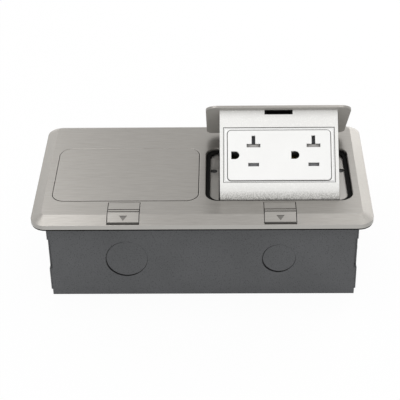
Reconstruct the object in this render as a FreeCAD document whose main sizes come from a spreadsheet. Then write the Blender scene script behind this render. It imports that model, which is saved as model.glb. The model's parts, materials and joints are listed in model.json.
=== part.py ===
import FreeCAD, Part
import math
import os
import Sketcher
from FreeCAD import Placement, Rotation, Vector

# Two-gang pop-up floor socket box.  Left gang closed, right gang open.
# Frame: X to the right, Y to the back, Z up.  The origin is the middle of
# the finished floor plane, which is the underside of the floor gasket.

os.makedirs("parts", exist_ok=True)
doc = FreeCAD.newDocument("floor_socket_box")
sheet = doc.addObject("Spreadsheet::Sheet", "Dims")
sheet_rows = []


class Size:
    """A length that is known both as a sheet formula and as a number."""

    def __init__(self, text, value):
        self.text = text
        self.value = float(value)

    def __add__(self, other):
        other = as_size(other)
        return Size("(%s + %s)" % (self.text, other.text), self.value + other.value)

    def __sub__(self, other):
        other = as_size(other)
        return Size("(%s - %s)" % (self.text, other.text), self.value - other.value)

    def __mul__(self, other):
        other = as_size(other)
        return Size("(%s * %s)" % (self.text, other.text), self.value * other.value)

    def __truediv__(self, other):
        other = as_size(other)
        return Size("(%s / %s)" % (self.text, other.text), self.value / other.value)

    def __neg__(self):
        return Size("(0 - %s)" % self.text, -self.value)

    def __rsub__(self, other):
        return as_size(other) - self

    __radd__ = __add__
    __rmul__ = __mul__


def as_size(number):
    """Let plain numbers stand beside sheet sizes in a formula."""
    if isinstance(number, Size):
        return number
    return Size("(%.6g)" % number if number < 0 else "%.6g" % number, number)


def root(size):
    return Size("sqrt(%s)" % size.text, math.sqrt(size.value))


def dim(name, value):
    """Enter one driving dimension in the sheet."""
    row = len(sheet_rows) + 1
    sheet.set("A%d" % row, name)
    sheet.set("B%d" % row, str(value))
    sheet.setAlias("B%d" % row, name)
    sheet_rows.append(name)
    return Size("Dims.%s" % name, value)


# ---- cover plate ----
side_margin = dim("side_margin", 11.8)
bridge_width = dim("bridge_width", 4.4)
rear_margin = dim("rear_margin", 34.5)
plate_corner = dim("plate_corner", 10.0)
floor_gasket_thick = dim("floor_gasket_thick", 1.2)
floor_gasket_inset = dim("floor_gasket_inset", 0.5)
rim_height = dim("rim_height", 3.0)
cover_height = dim("cover_height", 6.8)
slope_run = dim("slope_run", 7.1)
cover_skin = dim("cover_skin", 1.8)
cavity_side_gap = dim("cavity_side_gap", 0.3)
cavity_ahead = dim("cavity_ahead", 7.4)
cavity_behind = dim("cavity_behind", 2.0)
edge_soften = dim("edge_soften", 0.5)

# ---- gang openings and lids ----
ledge_width = dim("ledge_width", 9.5)
opening_depth = dim("opening_depth", 64.5)
opening_corner = dim("opening_corner", 8.5)
opening_setback = dim("opening_setback", 22.4)
lid_side_gap = dim("lid_side_gap", 0.4)
lid_front_gap = dim("lid_front_gap", 0.35)
lid_rear_gap = dim("lid_rear_gap", 0.55)
lid_thick = dim("lid_thick", 1.5)
lid_bevel_run = dim("lid_bevel_run", 2.1)
lid_land = dim("lid_land", 0.1)
seal_width = dim("seal_width", 2.8)
seal_overlap = dim("seal_overlap", 1.5)
seal_thick = dim("seal_thick", 1.4)

# ---- hinge ----
pivot_behind = dim("pivot_behind", 11.5)
pivot_down = dim("pivot_down", 19.0)
pin_radius = dim("pin_radius", 2.0)
pin_running_fit = dim("pin_running_fit", 0.05)
pin_length = dim("pin_length", 11.8)
open_angle = 46.5

# ---- pop-up frame ----
frame_wall = dim("frame_wall", 2.2)
frame_top_thick = dim("frame_top_thick", 2.0)
face_setback = dim("face_setback", 5.5)
face_drop = dim("face_drop", 62.0)
sweep_gap = dim("sweep_gap", 0.84)
rear_clear_radius = dim("rear_clear_radius", 23.2)
face_bend_radius = dim("face_bend_radius", 12.0)
notch_side_gap = dim("notch_side_gap", 0.7)
notch_bottom = dim("notch_bottom", 4.6)
notch_reach = dim("notch_reach", 12.0)
eye_radius = dim("eye_radius", 5.5)
fit_gap = dim("fit_gap", 0.1)

# ---- side brackets ----
bracket_gap = dim("bracket_gap", 0.8)
bracket_thick = dim("bracket_thick", 1.6)
lug_ahead = dim("lug_ahead", 14.0)
lug_behind = dim("lug_behind", 6.0)
lug_drop = dim("lug_drop", 26.0)
stop_radius = dim("stop_radius", 1.5)
stop_ahead = dim("stop_ahead", 9.8)
stop_above = dim("stop_above", 10.0)
ledge_hole_back = dim("ledge_hole_back", 40.1)
ledge_hole_out = dim("ledge_hole_out", 4.1)
ledge_hole_radius = dim("ledge_hole_radius", 2.35)

# ---- latch ----
recess_side_gap = dim("recess_side_gap", 0.5)
recess_lip = dim("recess_lip", 0.5)
recess_ahead = dim("recess_ahead", 1.7)
recess_floor = dim("recess_floor", 2.6)
button_width = dim("button_width", 20.0)
button_inset = dim("button_inset", 2.2)
button_ahead = dim("button_ahead", 2.1)
slide_gap = dim("slide_gap", 0.3)
ridge_height = dim("ridge_height", 0.6)
ridge_inset = dim("ridge_inset", 1.0)
ridge_width = dim("ridge_width", 5.0)
groove_width = dim("groove_width", 0.9)
bolt_ahead = dim("bolt_ahead", 0.5)
bolt_inset = dim("bolt_inset", 1.5)

# ---- receptacle ----
outlet_margin = dim("outlet_margin", 13.9)
face_height = dim("face_height", 33.3)
face_corner = dim("face_corner", 2.2)
face_centre_drop = dim("face_centre_drop", 32.1)
face_proud = dim("face_proud", 0.8)
outlet_pitch = dim("outlet_pitch", 38.9)
surround_side = dim("surround_side", 2.95)
surround_above = dim("surround_above", 2.25)
surround_below = dim("surround_below", 1.45)
blade_pitch = dim("blade_pitch", 12.7)
blade_column = dim("blade_column", 2.85)
ground_column = dim("ground_column", 9.0)
slot_height = dim("slot_height", 2.4)
shutter_travel = dim("shutter_travel", 2.4)

# ---- back box ----
box_step_x = dim("box_step_x", 1.0)
box_step_y = dim("box_step_y", 1.6)
box_drop = dim("box_drop", 61.5)
box_wall = dim("box_wall", 1.2)
large_knockout = dim("large_knockout", 13.9)
small_knockout = dim("small_knockout", 11.1)
knockout_drop = dim("knockout_drop", 32.1)
fixing_span_x = dim("fixing_span_x", 160.0)
fixing_span_y = dim("fixing_span_y", 60.0)
fixing_hole = dim("fixing_hole", 2.6)

# ---- small hardware ----
small_screw = dim("small_screw", 1.25)
small_head = dim("small_head", 2.4)
small_head_height = dim("small_head_height", 1.2)
mount_screw = dim("mount_screw", 1.6)
mount_screw_reach = dim("mount_screw_reach", 5.0)
csk_land = dim("csk_land", 0.5)
csk_sink = dim("csk_sink", 0.6)
drive_half = dim("drive_half", 1.6)
drive_slot = dim("drive_slot", 0.35)
bracket_screw_in = dim("bracket_screw_in", 1.5)
bracket_screw_ahead = dim("bracket_screw_ahead", 4.7)
bracket_screw_hinge = dim("bracket_screw_hinge", 4.0)
bracket_boss = dim("bracket_boss", 2.6)
ledge_ahead = dim("ledge_ahead", 7.1)
lug_lip = dim("lug_lip", 7.0)
stop_reach = dim("stop_reach", 2.7)
retainer_screw_out = dim("retainer_screw_out", 6.0)
retainer_screw_ahead = dim("retainer_screw_ahead", 4.2)
retainer_boss = dim("retainer_boss", 2.0)
retainer_top = dim("retainer_top", 3.3)
retainer_thick = dim("retainer_thick", 1.4)
retainer_reach = dim("retainer_reach", 8.5)
retainer_ahead = dim("retainer_ahead", 7.1)
retainer_rear_gap = dim("retainer_rear_gap", 0.9)
retainer_head = dim("retainer_head", 1.2)
thread_top = dim("thread_top", 7.2)
lid_screw_side = dim("lid_screw_side", 28.0)
lid_screw_front = dim("lid_screw_front", 14.0)
lid_screw_rear = dim("lid_screw_rear", 48.0)
lid_thread_cap = dim("lid_thread_cap", 0.5)

# ---- latch details ----
step_ahead = dim("step_ahead", 7.9)
ear_reach = dim("ear_reach", 2.6)
ear_ahead = dim("ear_ahead", 5.6)
ear_length = dim("ear_length", 3.0)
groove_first = dim("groove_first", 1.3)
groove_second = dim("groove_second", 3.7)
groove_depth = dim("groove_depth", 0.6)
spring_groove_half = dim("spring_groove_half", 1.4)
spring_groove_top = dim("spring_groove_top", 5.0)
spring_groove_length = dim("spring_groove_length", 10.5)
pocket_wall = dim("pocket_wall", 0.8)
spring_post = dim("spring_post", 1.0)
arrow_tip_share = dim("arrow_tip_share", 0.42)
arrow_height = dim("arrow_height", 3.8)
arrow_half = dim("arrow_half", 2.6)
arrow_depth = dim("arrow_depth", 0.4)
latch_coil = dim("latch_coil", 0.6)
latch_wire = dim("latch_wire", 0.35)
latch_turns = dim("latch_turns", 6.0)
latch_spring_z = dim("latch_spring_z", 3.9)

# ---- pop-up spring ----
spring_span = dim("spring_span", 6.0)
spring_side_gap = dim("spring_side_gap", 0.6)
spring_pin_gap = dim("spring_pin_gap", 0.3)
spring_wire = dim("spring_wire", 1.0)
spring_pitch = dim("spring_pitch", 1.25)
spring_turns = dim("spring_turns", 3.75)
spring_leg = dim("spring_leg", 14.0)
spring_knee = dim("spring_knee", 6.0)
spring_hook_drop = dim("spring_hook_drop", 8.1)
spring_drop = dim("spring_drop", 9.0)

# ---- pop-up frame outline, measured from the hinge axis ----
cheek_drop = dim("cheek_drop", 14.0)
cheek_ahead = dim("cheek_ahead", 24.0)
chin_ahead = dim("chin_ahead", 60.0)
arm_reach = dim("arm_reach", 26.0)
arm_sink = dim("arm_sink", 2.0)
arm_heel = dim("arm_heel", 10.0)
arm_neck = dim("arm_neck", 6.0)
arm_low = dim("arm_low", 7.0)
arm_deep = dim("arm_deep", 11.0)
eye_top = dim("eye_top", 4.0)
strap_thread = dim("strap_thread", 1.6)
strap_thick = dim("strap_thick", 1.2)
strap_top = dim("strap_top", 7.0)
strap_lap = dim("strap_lap", 1.6)
strap_screw_drop = dim("strap_screw_drop", 9.5)
strap_screw_side = dim("strap_screw_side", 30.0)
keeper_low = dim("keeper_low", 12.6)
keeper_recess = dim("keeper_recess", 0.5)

# ---- receptacle details ----
surround_sink = dim("surround_sink", 0.2)
surround_gap = dim("surround_gap", 0.5)
surround_fit = dim("surround_fit", 0.35)
surround_border = dim("surround_border", 0.75)
surround_step = dim("surround_step", 0.3)
tee_half = dim("tee_half", 4.45)
tee_stem = dim("tee_stem", 5.5)
straight_half = dim("straight_half", 3.5)
ground_radius = dim("ground_radius", 2.65)
ground_flat = dim("ground_flat", 2.65)
face_depth = dim("face_depth", 5.3)
face_edge = dim("face_edge", 0.4)
face_rim = dim("face_rim", 1.0)
face_front_wall = dim("face_front_wall", 1.6)
shutter_gap = dim("shutter_gap", 0.3)
shutter_thick = dim("shutter_thick", 1.5)
shutter_half = dim("shutter_half", 5.75)
shutter_reach = dim("shutter_reach", 10.3)
shutter_top_gap = dim("shutter_top_gap", 0.4)
leaf_thick = dim("leaf_thick", 0.3)
leaf_half = dim("leaf_half", 2.5)
leaf_width = dim("leaf_width", 1.0)
body_inset = dim("body_inset", 0.4)
body_depth = dim("body_depth", 21.0)
body_wall = dim("body_wall", 1.5)
body_edge = dim("body_edge", 1.0)
chamber_half = dim("chamber_half", 2.3)
ground_chamber_half = dim("ground_chamber_half", 3.4)
terminal_depth = dim("terminal_depth", 1.3)
tab_reach = dim("tab_reach", 8.0)
strip_gap = dim("strip_gap", 0.2)
strip_thick = dim("strip_thick", 0.8)
strip_half = dim("strip_half", 2.0)
jaw_half = dim("jaw_half", 4.6)
jaw_gap = dim("jaw_gap", 0.8)
jaw_length = dim("jaw_length", 9.0)
terminal_half = dim("terminal_half", 22.0)
terminal_width = dim("terminal_width", 8.0)
terminal_x = dim("terminal_x", 15.0)
terminal_screw = dim("terminal_screw", 1.5)
terminal_head = dim("terminal_head", 3.6)
terminal_head_height = dim("terminal_head_height", 1.8)
ground_strip_half = dim("ground_strip_half", 2.4)
ground_tube = dim("ground_tube", 2.9)

# ---- back box details ----
end_plate_thick = dim("end_plate_thick", 0.8)
end_plate_drop = dim("end_plate_drop", 57.0)
notch_low = dim("notch_low", 39.9)
notch_high = dim("notch_high", 16.3)
notch_depth = dim("notch_depth", 4.0)
gasket_clearance = dim("gasket_clearance", 0.4)
box_fold = dim("box_fold", 0.3)
knockout_slit = dim("knockout_slit", 0.42)
knockout_shift = dim("knockout_shift", 0.25)
knockout_score = dim("knockout_score", 0.9)
tab_half = dim("tab_half", 7.3)
tab_sink = dim("tab_sink", 1.0)
tab_length = dim("tab_length", 10.0)
divider_foot = dim("divider_foot", 9.0)
divider_flange = dim("divider_flange", 11.0)
ground_screw_x = dim("ground_screw_x", 30.0)
ground_screw_y = dim("ground_screw_y", 20.0)

# ---- derived levels ----
flange_z = floor_gasket_thick
rim_z = flange_z + rim_height
top_z = flange_z + cover_height
skin_z = top_z - cover_skin
seal_z = skin_z - seal_thick
ledge_z = seal_z - bracket_thick
face_length = outlet_pitch + outlet_margin * 2
half_inner = face_length / 2 + surround_side
half_frame = half_inner + frame_wall
opening_width = half_frame * 2 + ledge_width * 2
gang_offset = opening_width / 2 + bridge_width / 2
plate_length = opening_width * 2 + bridge_width + side_margin * 2
plate_width = opening_setback + opening_depth + rear_margin
plate_front = -plate_width / 2
opening_y = plate_front + opening_setback
pivot_back = opening_depth + pivot_behind
pivot_y = opening_y + pivot_back
pivot_z = top_z - pivot_down
sweep_radius = root(pivot_back * pivot_back + pivot_down * pivot_down) - sweep_gap
window_top = face_centre_drop - face_height / 2 - surround_above
window_bottom = face_centre_drop + face_height / 2 + surround_below
bracket_reach = opening_width / 2 + seal_overlap
lug_front_y = pivot_y - lug_ahead
lug_rear_y = pivot_y + lug_behind
cavity_x = gang_offset + bracket_reach + cavity_side_gap
cavity_y0 = opening_y - cavity_ahead
cavity_y1 = lug_rear_y + cavity_behind
box_x = cavity_x + box_step_x
box_y0 = cavity_y0 - box_step_y
box_y1 = cavity_y1 + box_step_y
box_in_x = box_x - box_wall
box_in_y0 = box_y0 + box_wall
box_in_y1 = box_y1 - box_wall
recess_width = button_width + recess_side_gap * 2
recess_y0 = plate_front + recess_lip
recess_y1 = opening_y - recess_ahead
button_y0 = plate_front + button_inset
button_y1 = opening_y - button_ahead
ridge_y0 = plate_front + slope_run + ridge_inset
ridge_y1 = ridge_y0 + ridge_width
bolt_width = button_width - bolt_inset * 2
notch_width = bolt_width + notch_side_gap * 2
ledge_hole_side = half_frame + ledge_hole_out
bracket_screw_side = opening_width / 2 - bracket_screw_in
bracket_screw_rows = [opening_y - bracket_screw_ahead, pivot_y - bracket_screw_hinge]
retainer_screw_side = button_width / 2 + retainer_screw_out
retainer_screw_y = opening_y - retainer_screw_ahead
retainer_half = button_width / 2 + retainer_reach
post_y0 = button_y0 + pocket_wall + slide_gap
spring_y0 = post_y0 + spring_post
spring_y1 = button_y0 + spring_groove_length
post_half = spring_groove_half - slide_gap
latch_pitch = (spring_y1 - spring_y0 - latch_wire) / latch_turns
face_y = face_setback - pivot_back
inner_y = face_y + frame_wall
lid_under = pivot_down - lid_thick
deck_z = lid_under - frame_top_thick
ledge_hole_y = opening_y + ledge_hole_back
tab_z = -tab_sink
face_back = face_y - face_proud + face_depth
arm_front = -arm_reach
arm_top = -arm_sink
cheek_low = -cheek_drop
cheek_rear = -cheek_ahead
chin_rear = -chin_ahead

doc.recompute()


# ------------------------------------------------------------------ helpers
def bind(feature, name, size):
    """Tie a property to its sheet formula."""
    feature.setExpression(name, as_size(size).text)


def rect(u0, v0, u1, v1):
    """Outline of an upright rectangle between two opposite corners."""
    return ("polygon", [(u0, v0), (u1, v0), (u1, v1), (u0, v1)])


def polygon(*points):
    return ("polygon", list(points))


def circle(u, v, radius):
    return ("circle", u, v, radius)


def new_body(label):
    body = doc.addObject("PartDesign::Body", label)
    body.Label = label
    return body


PLANES = {"x": "YZ_Plane", "y": "XZ_Plane", "z": "XY_Plane"}


def new_sketch(body, name, axis, level):
    """Sketch square to an axis of the body; its normal is +X, -Y or +Z."""
    role = PLANES[axis]
    plane = [item for item in body.Origin.OriginFeatures if item.Role == role][0]
    sketch = body.newObject("Sketcher::SketchObject", name)
    sketch.AttachmentSupport = [(plane, "")]
    sketch.MapMode = "FlatFace"
    bind(sketch, "AttachmentOffset.Base.z", level)
    return sketch


def fix_point(sketch, geometry, vertex, u, v):
    """Dimension one point of a sketch from the sketch origin."""
    for kind, size in (("DistanceX", as_size(u)), ("DistanceY", as_size(v))):
        index = sketch.addConstraint(Sketcher.Constraint(kind, geometry, vertex, size.value))
        bind(sketch, "Constraints[%d]" % index, size)


def draw(sketch, outlines):
    """Add fully dimensioned closed outlines to a sketch."""
    for outline in outlines:
        if outline[0] == "circle":
            u, v, radius = [as_size(item) for item in outline[1:]]
            centre = Vector(u.value, v.value, 0)
            geometry = sketch.addGeometry(Part.Circle(centre, Vector(0, 0, 1), radius.value), False)
            fix_point(sketch, geometry, 3, u, v)
            index = sketch.addConstraint(Sketcher.Constraint("Radius", geometry, radius.value))
            bind(sketch, "Constraints[%d]" % index, radius)
            continue
        points = [(as_size(u), as_size(v)) for u, v in outline[1]]
        corners = [Vector(u.value, v.value, 0) for u, v in points]
        lines = []
        for start, end in zip(corners, corners[1:] + corners[:1]):
            lines.append(sketch.addGeometry(Part.LineSegment(start, end), False))
        for line, following in zip(lines, lines[1:] + lines[:1]):
            sketch.addConstraint(Sketcher.Constraint("Coincident", line, 2, following, 1))
        for line, (u, v) in zip(lines, points):
            fix_point(sketch, line, 1, u, v)


def slab(body, name, axis, low, high, *outlines):
    """Pad outlines between two levels of an axis."""
    low, high = as_size(low), as_size(high)
    if axis == "y":
        low, high = -high, -low
    sketch = new_sketch(body, name + "_sketch", axis, low)
    draw(sketch, outlines)
    pad = body.newObject("PartDesign::Pad", name)
    pad.Profile = sketch
    bind(pad, "Length", high - low)
    pad.Refine = True
    doc.recompute()
    return pad


def cut(body, name, axis, low, high, *outlines):
    """Pocket outlines between two levels of an axis."""
    before = body.Shape.Volume
    low, high = as_size(low), as_size(high)
    if axis == "y":
        low, high = -high, -low
    sketch = new_sketch(body, name + "_sketch", axis, high)
    draw(sketch, outlines)
    pocket = body.newObject("PartDesign::Pocket", name)
    pocket.Profile = sketch
    bind(pocket, "Length", high - low)
    pocket.Refine = True
    doc.recompute()
    if not body.Shape.Volume < before - 0.01:
        raise ValueError("%s in %s removed nothing" % (name, body.Label))
    return pocket


def ring_cut(body, name, low, high, radius, reach):
    """Remove everything of a body that lies outside a radius about X."""
    square = rect(-reach, -reach, reach, reach)
    return cut(body, name, "x", low, high, square, circle(0, 0, radius))


def is_along(edge, axis):
    """True for a straight edge that runs along one axis."""
    if edge.Curve.TypeId != "Part::GeomLine":
        return False
    direction = edge.tangentAt(edge.FirstParameter)
    return abs(abs(direction[axis]) - 1) < 1e-6


def edge_names(body, test):
    names = []
    for index, edge in enumerate(body.Shape.Edges):
        if test(edge):
            names.append("Edge%d" % (index + 1))
    return names


def fillet(body, name, radius, test):
    feature = body.newObject("PartDesign::Fillet", name)
    previous = [item for item in body.Group if item.isDerivedFrom("PartDesign::Feature")][-2]
    feature.Base = (previous, edge_names(body, test))
    bind(feature, "Radius", radius)
    doc.recompute()
    return feature


def chamfer(body, name, across, down, flip, test):
    """Bevel with two different legs."""
    feature = body.newObject("PartDesign::Chamfer", name)
    previous = [item for item in body.Group if item.isDerivedFrom("PartDesign::Feature")][-2]
    feature.Base = (previous, edge_names(body, test))
    feature.ChamferType = "Two distances"
    feature.FlipDirection = flip
    bind(feature, "Size", across)
    bind(feature, "Size2", down)
    doc.recompute()
    return feature


def corner_of(points, axis=2, reach=0.05):
    """Test that picks edges along an axis through given points."""
    others = [index for index in range(3) if index != axis]

    def test(edge):
        if not is_along(edge, axis):
            return False
        middle = edge.CenterOfMass
        for u, v in points:
            near_u = abs(middle[others[0]] - as_size(u).value) < reach
            near_v = abs(middle[others[1]] - as_size(v).value) < reach
            if near_u and near_v:
                return True
        return False
    return test


def rect_corners(u0, v0, u1, v1):
    return [(u0, v0), (u0, v1), (u1, v0), (u1, v1)]


def fasteners(label, axis, seat, head_height, tip, head_radius, shank_radius, spots, slot=True):
    """Equal screws with flat heads; the shank runs from the seat to the tip."""
    body = new_body(label)
    seat, tip = as_size(seat), as_size(tip)
    head_radius, shank_radius = as_size(head_radius), as_size(shank_radius)
    head_height = as_size(head_height)
    shanks = [circle(u, v, shank_radius) for u, v in spots]
    heads = [circle(u, v, head_radius) for u, v in spots]
    slots = [rect(u - head_radius * 0.8, v - head_radius * 0.14,
                  u + head_radius * 0.8, v + head_radius * 0.14) for u, v in spots]
    if tip.value > seat.value:
        outer = seat - head_height
        slab(body, "heads", axis, outer, seat, *heads)
        slab(body, "shanks", axis, seat, tip, *shanks)
        if slot:
            cut(body, "slots", axis, outer, outer + head_height * 0.5, *slots)
    else:
        outer = seat + head_height
        slab(body, "heads", axis, seat, outer, *heads)
        slab(body, "shanks", axis, tip, seat, *shanks)
        if slot:
            cut(body, "slots", axis, outer - head_height * 0.5, outer, *slots)
    return body


def coil(body, name, start, radius, wire, pitch, turns):
    """Square-wire helix about the body's X axis."""
    section = new_sketch(body, name + "_section", "z", 0)
    start, radius, wire = as_size(start), as_size(radius), as_size(wire)
    draw(section, [rect(start, radius, start + wire, radius + wire)])
    helix = body.newObject("PartDesign::AdditiveHelix", name)
    helix.Profile = section
    helix.ReferenceAxis = (section, ["H_Axis"])
    helix.Mode = "pitch-turns-angle"
    bind(helix, "Pitch", pitch)
    bind(helix, "Turns", turns)
    doc.recompute()
    return helix


# ------------------------------------------------------------ shared pieces
def build_cover_frame():
    """Pressed cover: rim, slope all round, raised flat, two openings, two button recesses."""
    body = new_body("cover_frame")
    half_x, half_y = plate_length / 2, plate_width / 2
    slab(body, "plate", "z", flange_z, top_z, rect(-half_x, plate_front, half_x, half_y))
    fillet(body, "plate_corners", plate_corner,
           corner_of(rect_corners(-half_x, -half_y, half_x, half_y)))
    chamfer(body, "slope", slope_run, top_z - rim_z, True,
            lambda edge: edge.BoundBox.ZMin > top_z.value - 0.01)
    cut(body, "cavity", "z", flange_z, skin_z, rect(-cavity_x, cavity_y0, cavity_x, cavity_y1))
    bosses = []
    for centre in (-gang_offset, gang_offset):
        for side in (-1, 1):
            for spot_y in bracket_screw_rows:
                bosses.append(circle(centre + side * bracket_screw_side, spot_y, bracket_boss))
    slab(body, "bracket_bosses", "z", ledge_z + bracket_thick, skin_z, *bosses)
    pads = []
    for centre in (-gang_offset, gang_offset):
        for side in (-1, 1):
            pads.append(circle(centre + side * retainer_screw_side, retainer_screw_y, retainer_boss))
    slab(body, "retainer_bosses", "z", retainer_top, skin_z, *pads)
    openings = []
    corners = []
    for centre in (-gang_offset, gang_offset):
        low_x, high_x = centre - opening_width / 2, centre + opening_width / 2
        openings.append(rect(low_x, opening_y, high_x, opening_y + opening_depth))
        corners += rect_corners(low_x, opening_y, high_x, opening_y + opening_depth)
    cut(body, "openings", "z", skin_z, top_z, *openings)
    fillet(body, "opening_corners", opening_corner, corner_of(corners))
    recesses = []
    for centre in (-gang_offset, gang_offset):
        recesses.append(rect(centre - recess_width / 2, recess_y0,
                             centre + recess_width / 2, recess_y1))
    cut(body, "button_recesses", "z", recess_floor, top_z, *recesses)
    posts = []
    for centre in (-gang_offset, gang_offset):
        posts.append(rect(centre - post_half, post_y0, centre + post_half, spring_y0))
    slab(body, "spring_posts", "z", recess_floor, spring_groove_top - slide_gap, *posts)
    drills = []
    for centre in (-gang_offset, gang_offset):
        for side in (-1, 1):
            for spot_y in bracket_screw_rows:
                drills.append(circle(centre + side * bracket_screw_side, spot_y, small_screw))
            drills.append(circle(centre + side * retainer_screw_side, retainer_screw_y, small_screw))
    cut(body, "screw_holes", "z", flange_z, thread_top, *drills)
    fillet(body, "opening_edges", edge_soften, opening_top_edge)
    return body


def opening_top_edge(edge):
    """Edges of the two lid openings that lie in the top surface."""
    box = edge.BoundBox
    if box.ZMin < top_z.value - 0.01:
        return False
    middle_y = edge.CenterOfMass.y
    low_y = opening_y.value - 0.05
    high_y = opening_y.value + opening_depth.value + 0.05
    inside_x = box.XMax < gang_offset.value + opening_width.value / 2 + 0.05
    return low_y < middle_y < high_y and inside_x and box.XMin > -gang_offset.value * 2


def build_floor_gasket():
    body = new_body("floor_gasket")
    half_x = plate_length / 2 - floor_gasket_inset
    half_y = plate_width / 2 - floor_gasket_inset
    slab(body, "sheet", "z", 0, flange_z, rect(-half_x, -half_y, half_x, half_y))
    fillet(body, "corners", plate_corner - floor_gasket_inset,
           corner_of(rect_corners(-half_x, -half_y, half_x, half_y)))
    hole_x = box_x + end_plate_thick + gasket_clearance
    cut(body, "box_hole", "z", 0, flange_z,
        rect(-hole_x, box_y0 - gasket_clearance, hole_x, box_y1 + gasket_clearance))
    return body


def build_back_box():
    """Folded steel tub: round knockouts, a slot at each upright corner, screw tabs at its ends."""
    body = new_body("back_box")
    slab(body, "tub", "z", -box_drop, flange_z, rect(-box_x, box_y0, box_x, box_y1))
    fillet(body, "folds", box_fold, corner_of(rect_corners(-box_x, box_y0, box_x, box_y1)))
    cut(body, "inside", "z", -box_drop + box_wall, flange_z,
        rect(-box_in_x, box_in_y0, box_in_x, box_in_y1))
    knockouts = ((-gang_offset, large_knockout), (gang_offset, small_knockout))
    scored = [circle(x, -knockout_drop, radius) for x, radius in knockouts]
    # The slug sits off centre in its hole, so the slit is widest at the lower left.
    slug_z = knockout_shift - knockout_drop
    slugs = [circle(x + knockout_shift, slug_z, radius - knockout_slit) for x, radius in knockouts]
    cut(body, "front_slits", "y", box_y0, box_y0 + knockout_score, *(scored + slugs))
    cut(body, "rear_slits", "y", box_y1 - knockout_score, box_y1, *(scored + slugs))
    slots = []
    for low_y, high_y in ((box_y0, box_y0 + notch_depth), (box_y1 - notch_depth, box_y1)):
        slots.append(rect(-box_x, low_y, -box_in_x, high_y))
        slots.append(rect(box_in_x, low_y, box_x, high_y))
    cut(body, "corner_slots", "z", -notch_low, -notch_high, *slots)
    tab_y0 = ledge_hole_y - tab_half
    tab_y1 = ledge_hole_y + tab_half
    tab_x = box_in_x - tab_length
    tabs = [rect(-box_in_x - 0.1, tab_y0, -tab_x, tab_y1), rect(tab_x, tab_y0, box_in_x + 0.1, tab_y1)]
    slab(body, "tabs", "z", tab_z - box_wall, tab_z, *tabs)
    thread_x = gang_offset + ledge_hole_side
    cut(body, "tab_threads", "z", tab_z - box_wall, tab_z,
        circle(-thread_x, ledge_hole_y, mount_screw), circle(thread_x, ledge_hole_y, mount_screw))
    holes = []
    for side_x in (-1, 1):
        for side_y in (-1, 1):
            holes.append(circle(side_x * fixing_span_x / 2, side_y * fixing_span_y / 2, fixing_hole))
    holes.append(circle(ground_screw_x, ground_screw_y, small_screw))
    cut(body, "floor_holes", "z", -box_drop, -box_drop + box_wall, *holes)
    return body


def build_end_plate(label, side):
    """Flat outer plate on one end of the box, notched at both upright edges."""
    body = new_body(label)
    inner = side * box_x
    outer = side * (box_x + end_plate_thick)
    low, high = (inner, outer) if side > 0 else (outer, inner)
    slab(body, "plate", "x", low, high, rect(box_y0, -end_plate_drop, box_y1, flange_z))
    notches = [rect(box_y0, -notch_low, box_y0 + notch_depth, -notch_high),
               rect(box_y1 - notch_depth, -notch_low, box_y1, -notch_high)]
    cut(body, "notches", "x", low, high, *notches)
    return body


def build_divider():
    """Partition between the two gangs; its top flange takes the middle screws."""
    body = new_body("box_divider")
    bottom = -box_drop + box_wall
    half_web = box_wall / 2
    slab(body, "web", "y", box_in_y0, box_in_y1,
         polygon((-half_web, bottom), (divider_foot, bottom), (divider_foot, bottom + box_wall),
                 (half_web, bottom + box_wall), (half_web, tab_z), (-half_web, tab_z)))
    slab(body, "flange", "z", tab_z - box_wall, tab_z,
         rect(-divider_flange, ledge_hole_y - tab_half, divider_flange, ledge_hole_y + tab_half))
    hole_x = gang_offset - ledge_hole_side
    cut(body, "threads", "z", tab_z - box_wall, tab_z,
        circle(-hole_x, ledge_hole_y, mount_screw), circle(hole_x, ledge_hole_y, mount_screw))
    return body


def build_box_mounting_screws():
    """Four countersunk screws that pull the cover down on the back box."""
    body = new_body("box_mounting_screws")
    spots = []
    for centre in (-gang_offset, gang_offset):
        for side in (-1, 1):
            spots.append((centre + side * ledge_hole_side, ledge_hole_y))
    heads = [circle(x, y, ledge_hole_radius) for x, y in spots]
    shanks = [circle(x, y, mount_screw) for x, y in spots]
    seat = ledge_z + csk_land
    slab(body, "heads", "z", seat, ledge_z + bracket_thick - csk_sink, *heads)
    slab(body, "shanks", "z", tab_z - mount_screw_reach, seat, *shanks)
    drives = []
    for x, y in spots:
        drives.append(rect(x - drive_half, y - drive_slot, x + drive_half, y + drive_slot))
    top = ledge_z + bracket_thick - csk_sink
    cut(body, "drives", "z", top - csk_sink / 2, top, *drives)
    return body


def build_ground_screw():
    bottom = -box_drop + box_wall
    return fasteners("ground_screw", "z", bottom, 2.4, bottom - box_wall, 3.5, small_screw,
                     [(ground_screw_x, ground_screw_y)])


def build_bracket_screws():
    spots = []
    for centre in (-gang_offset, gang_offset):
        for side in (-1, 1):
            for spot_y in bracket_screw_rows:
                spots.append((centre + side * bracket_screw_side, spot_y))
    return fasteners("bracket_screws", "z", ledge_z, small_head_height, thread_top,
                     small_head, small_screw, spots)


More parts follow.
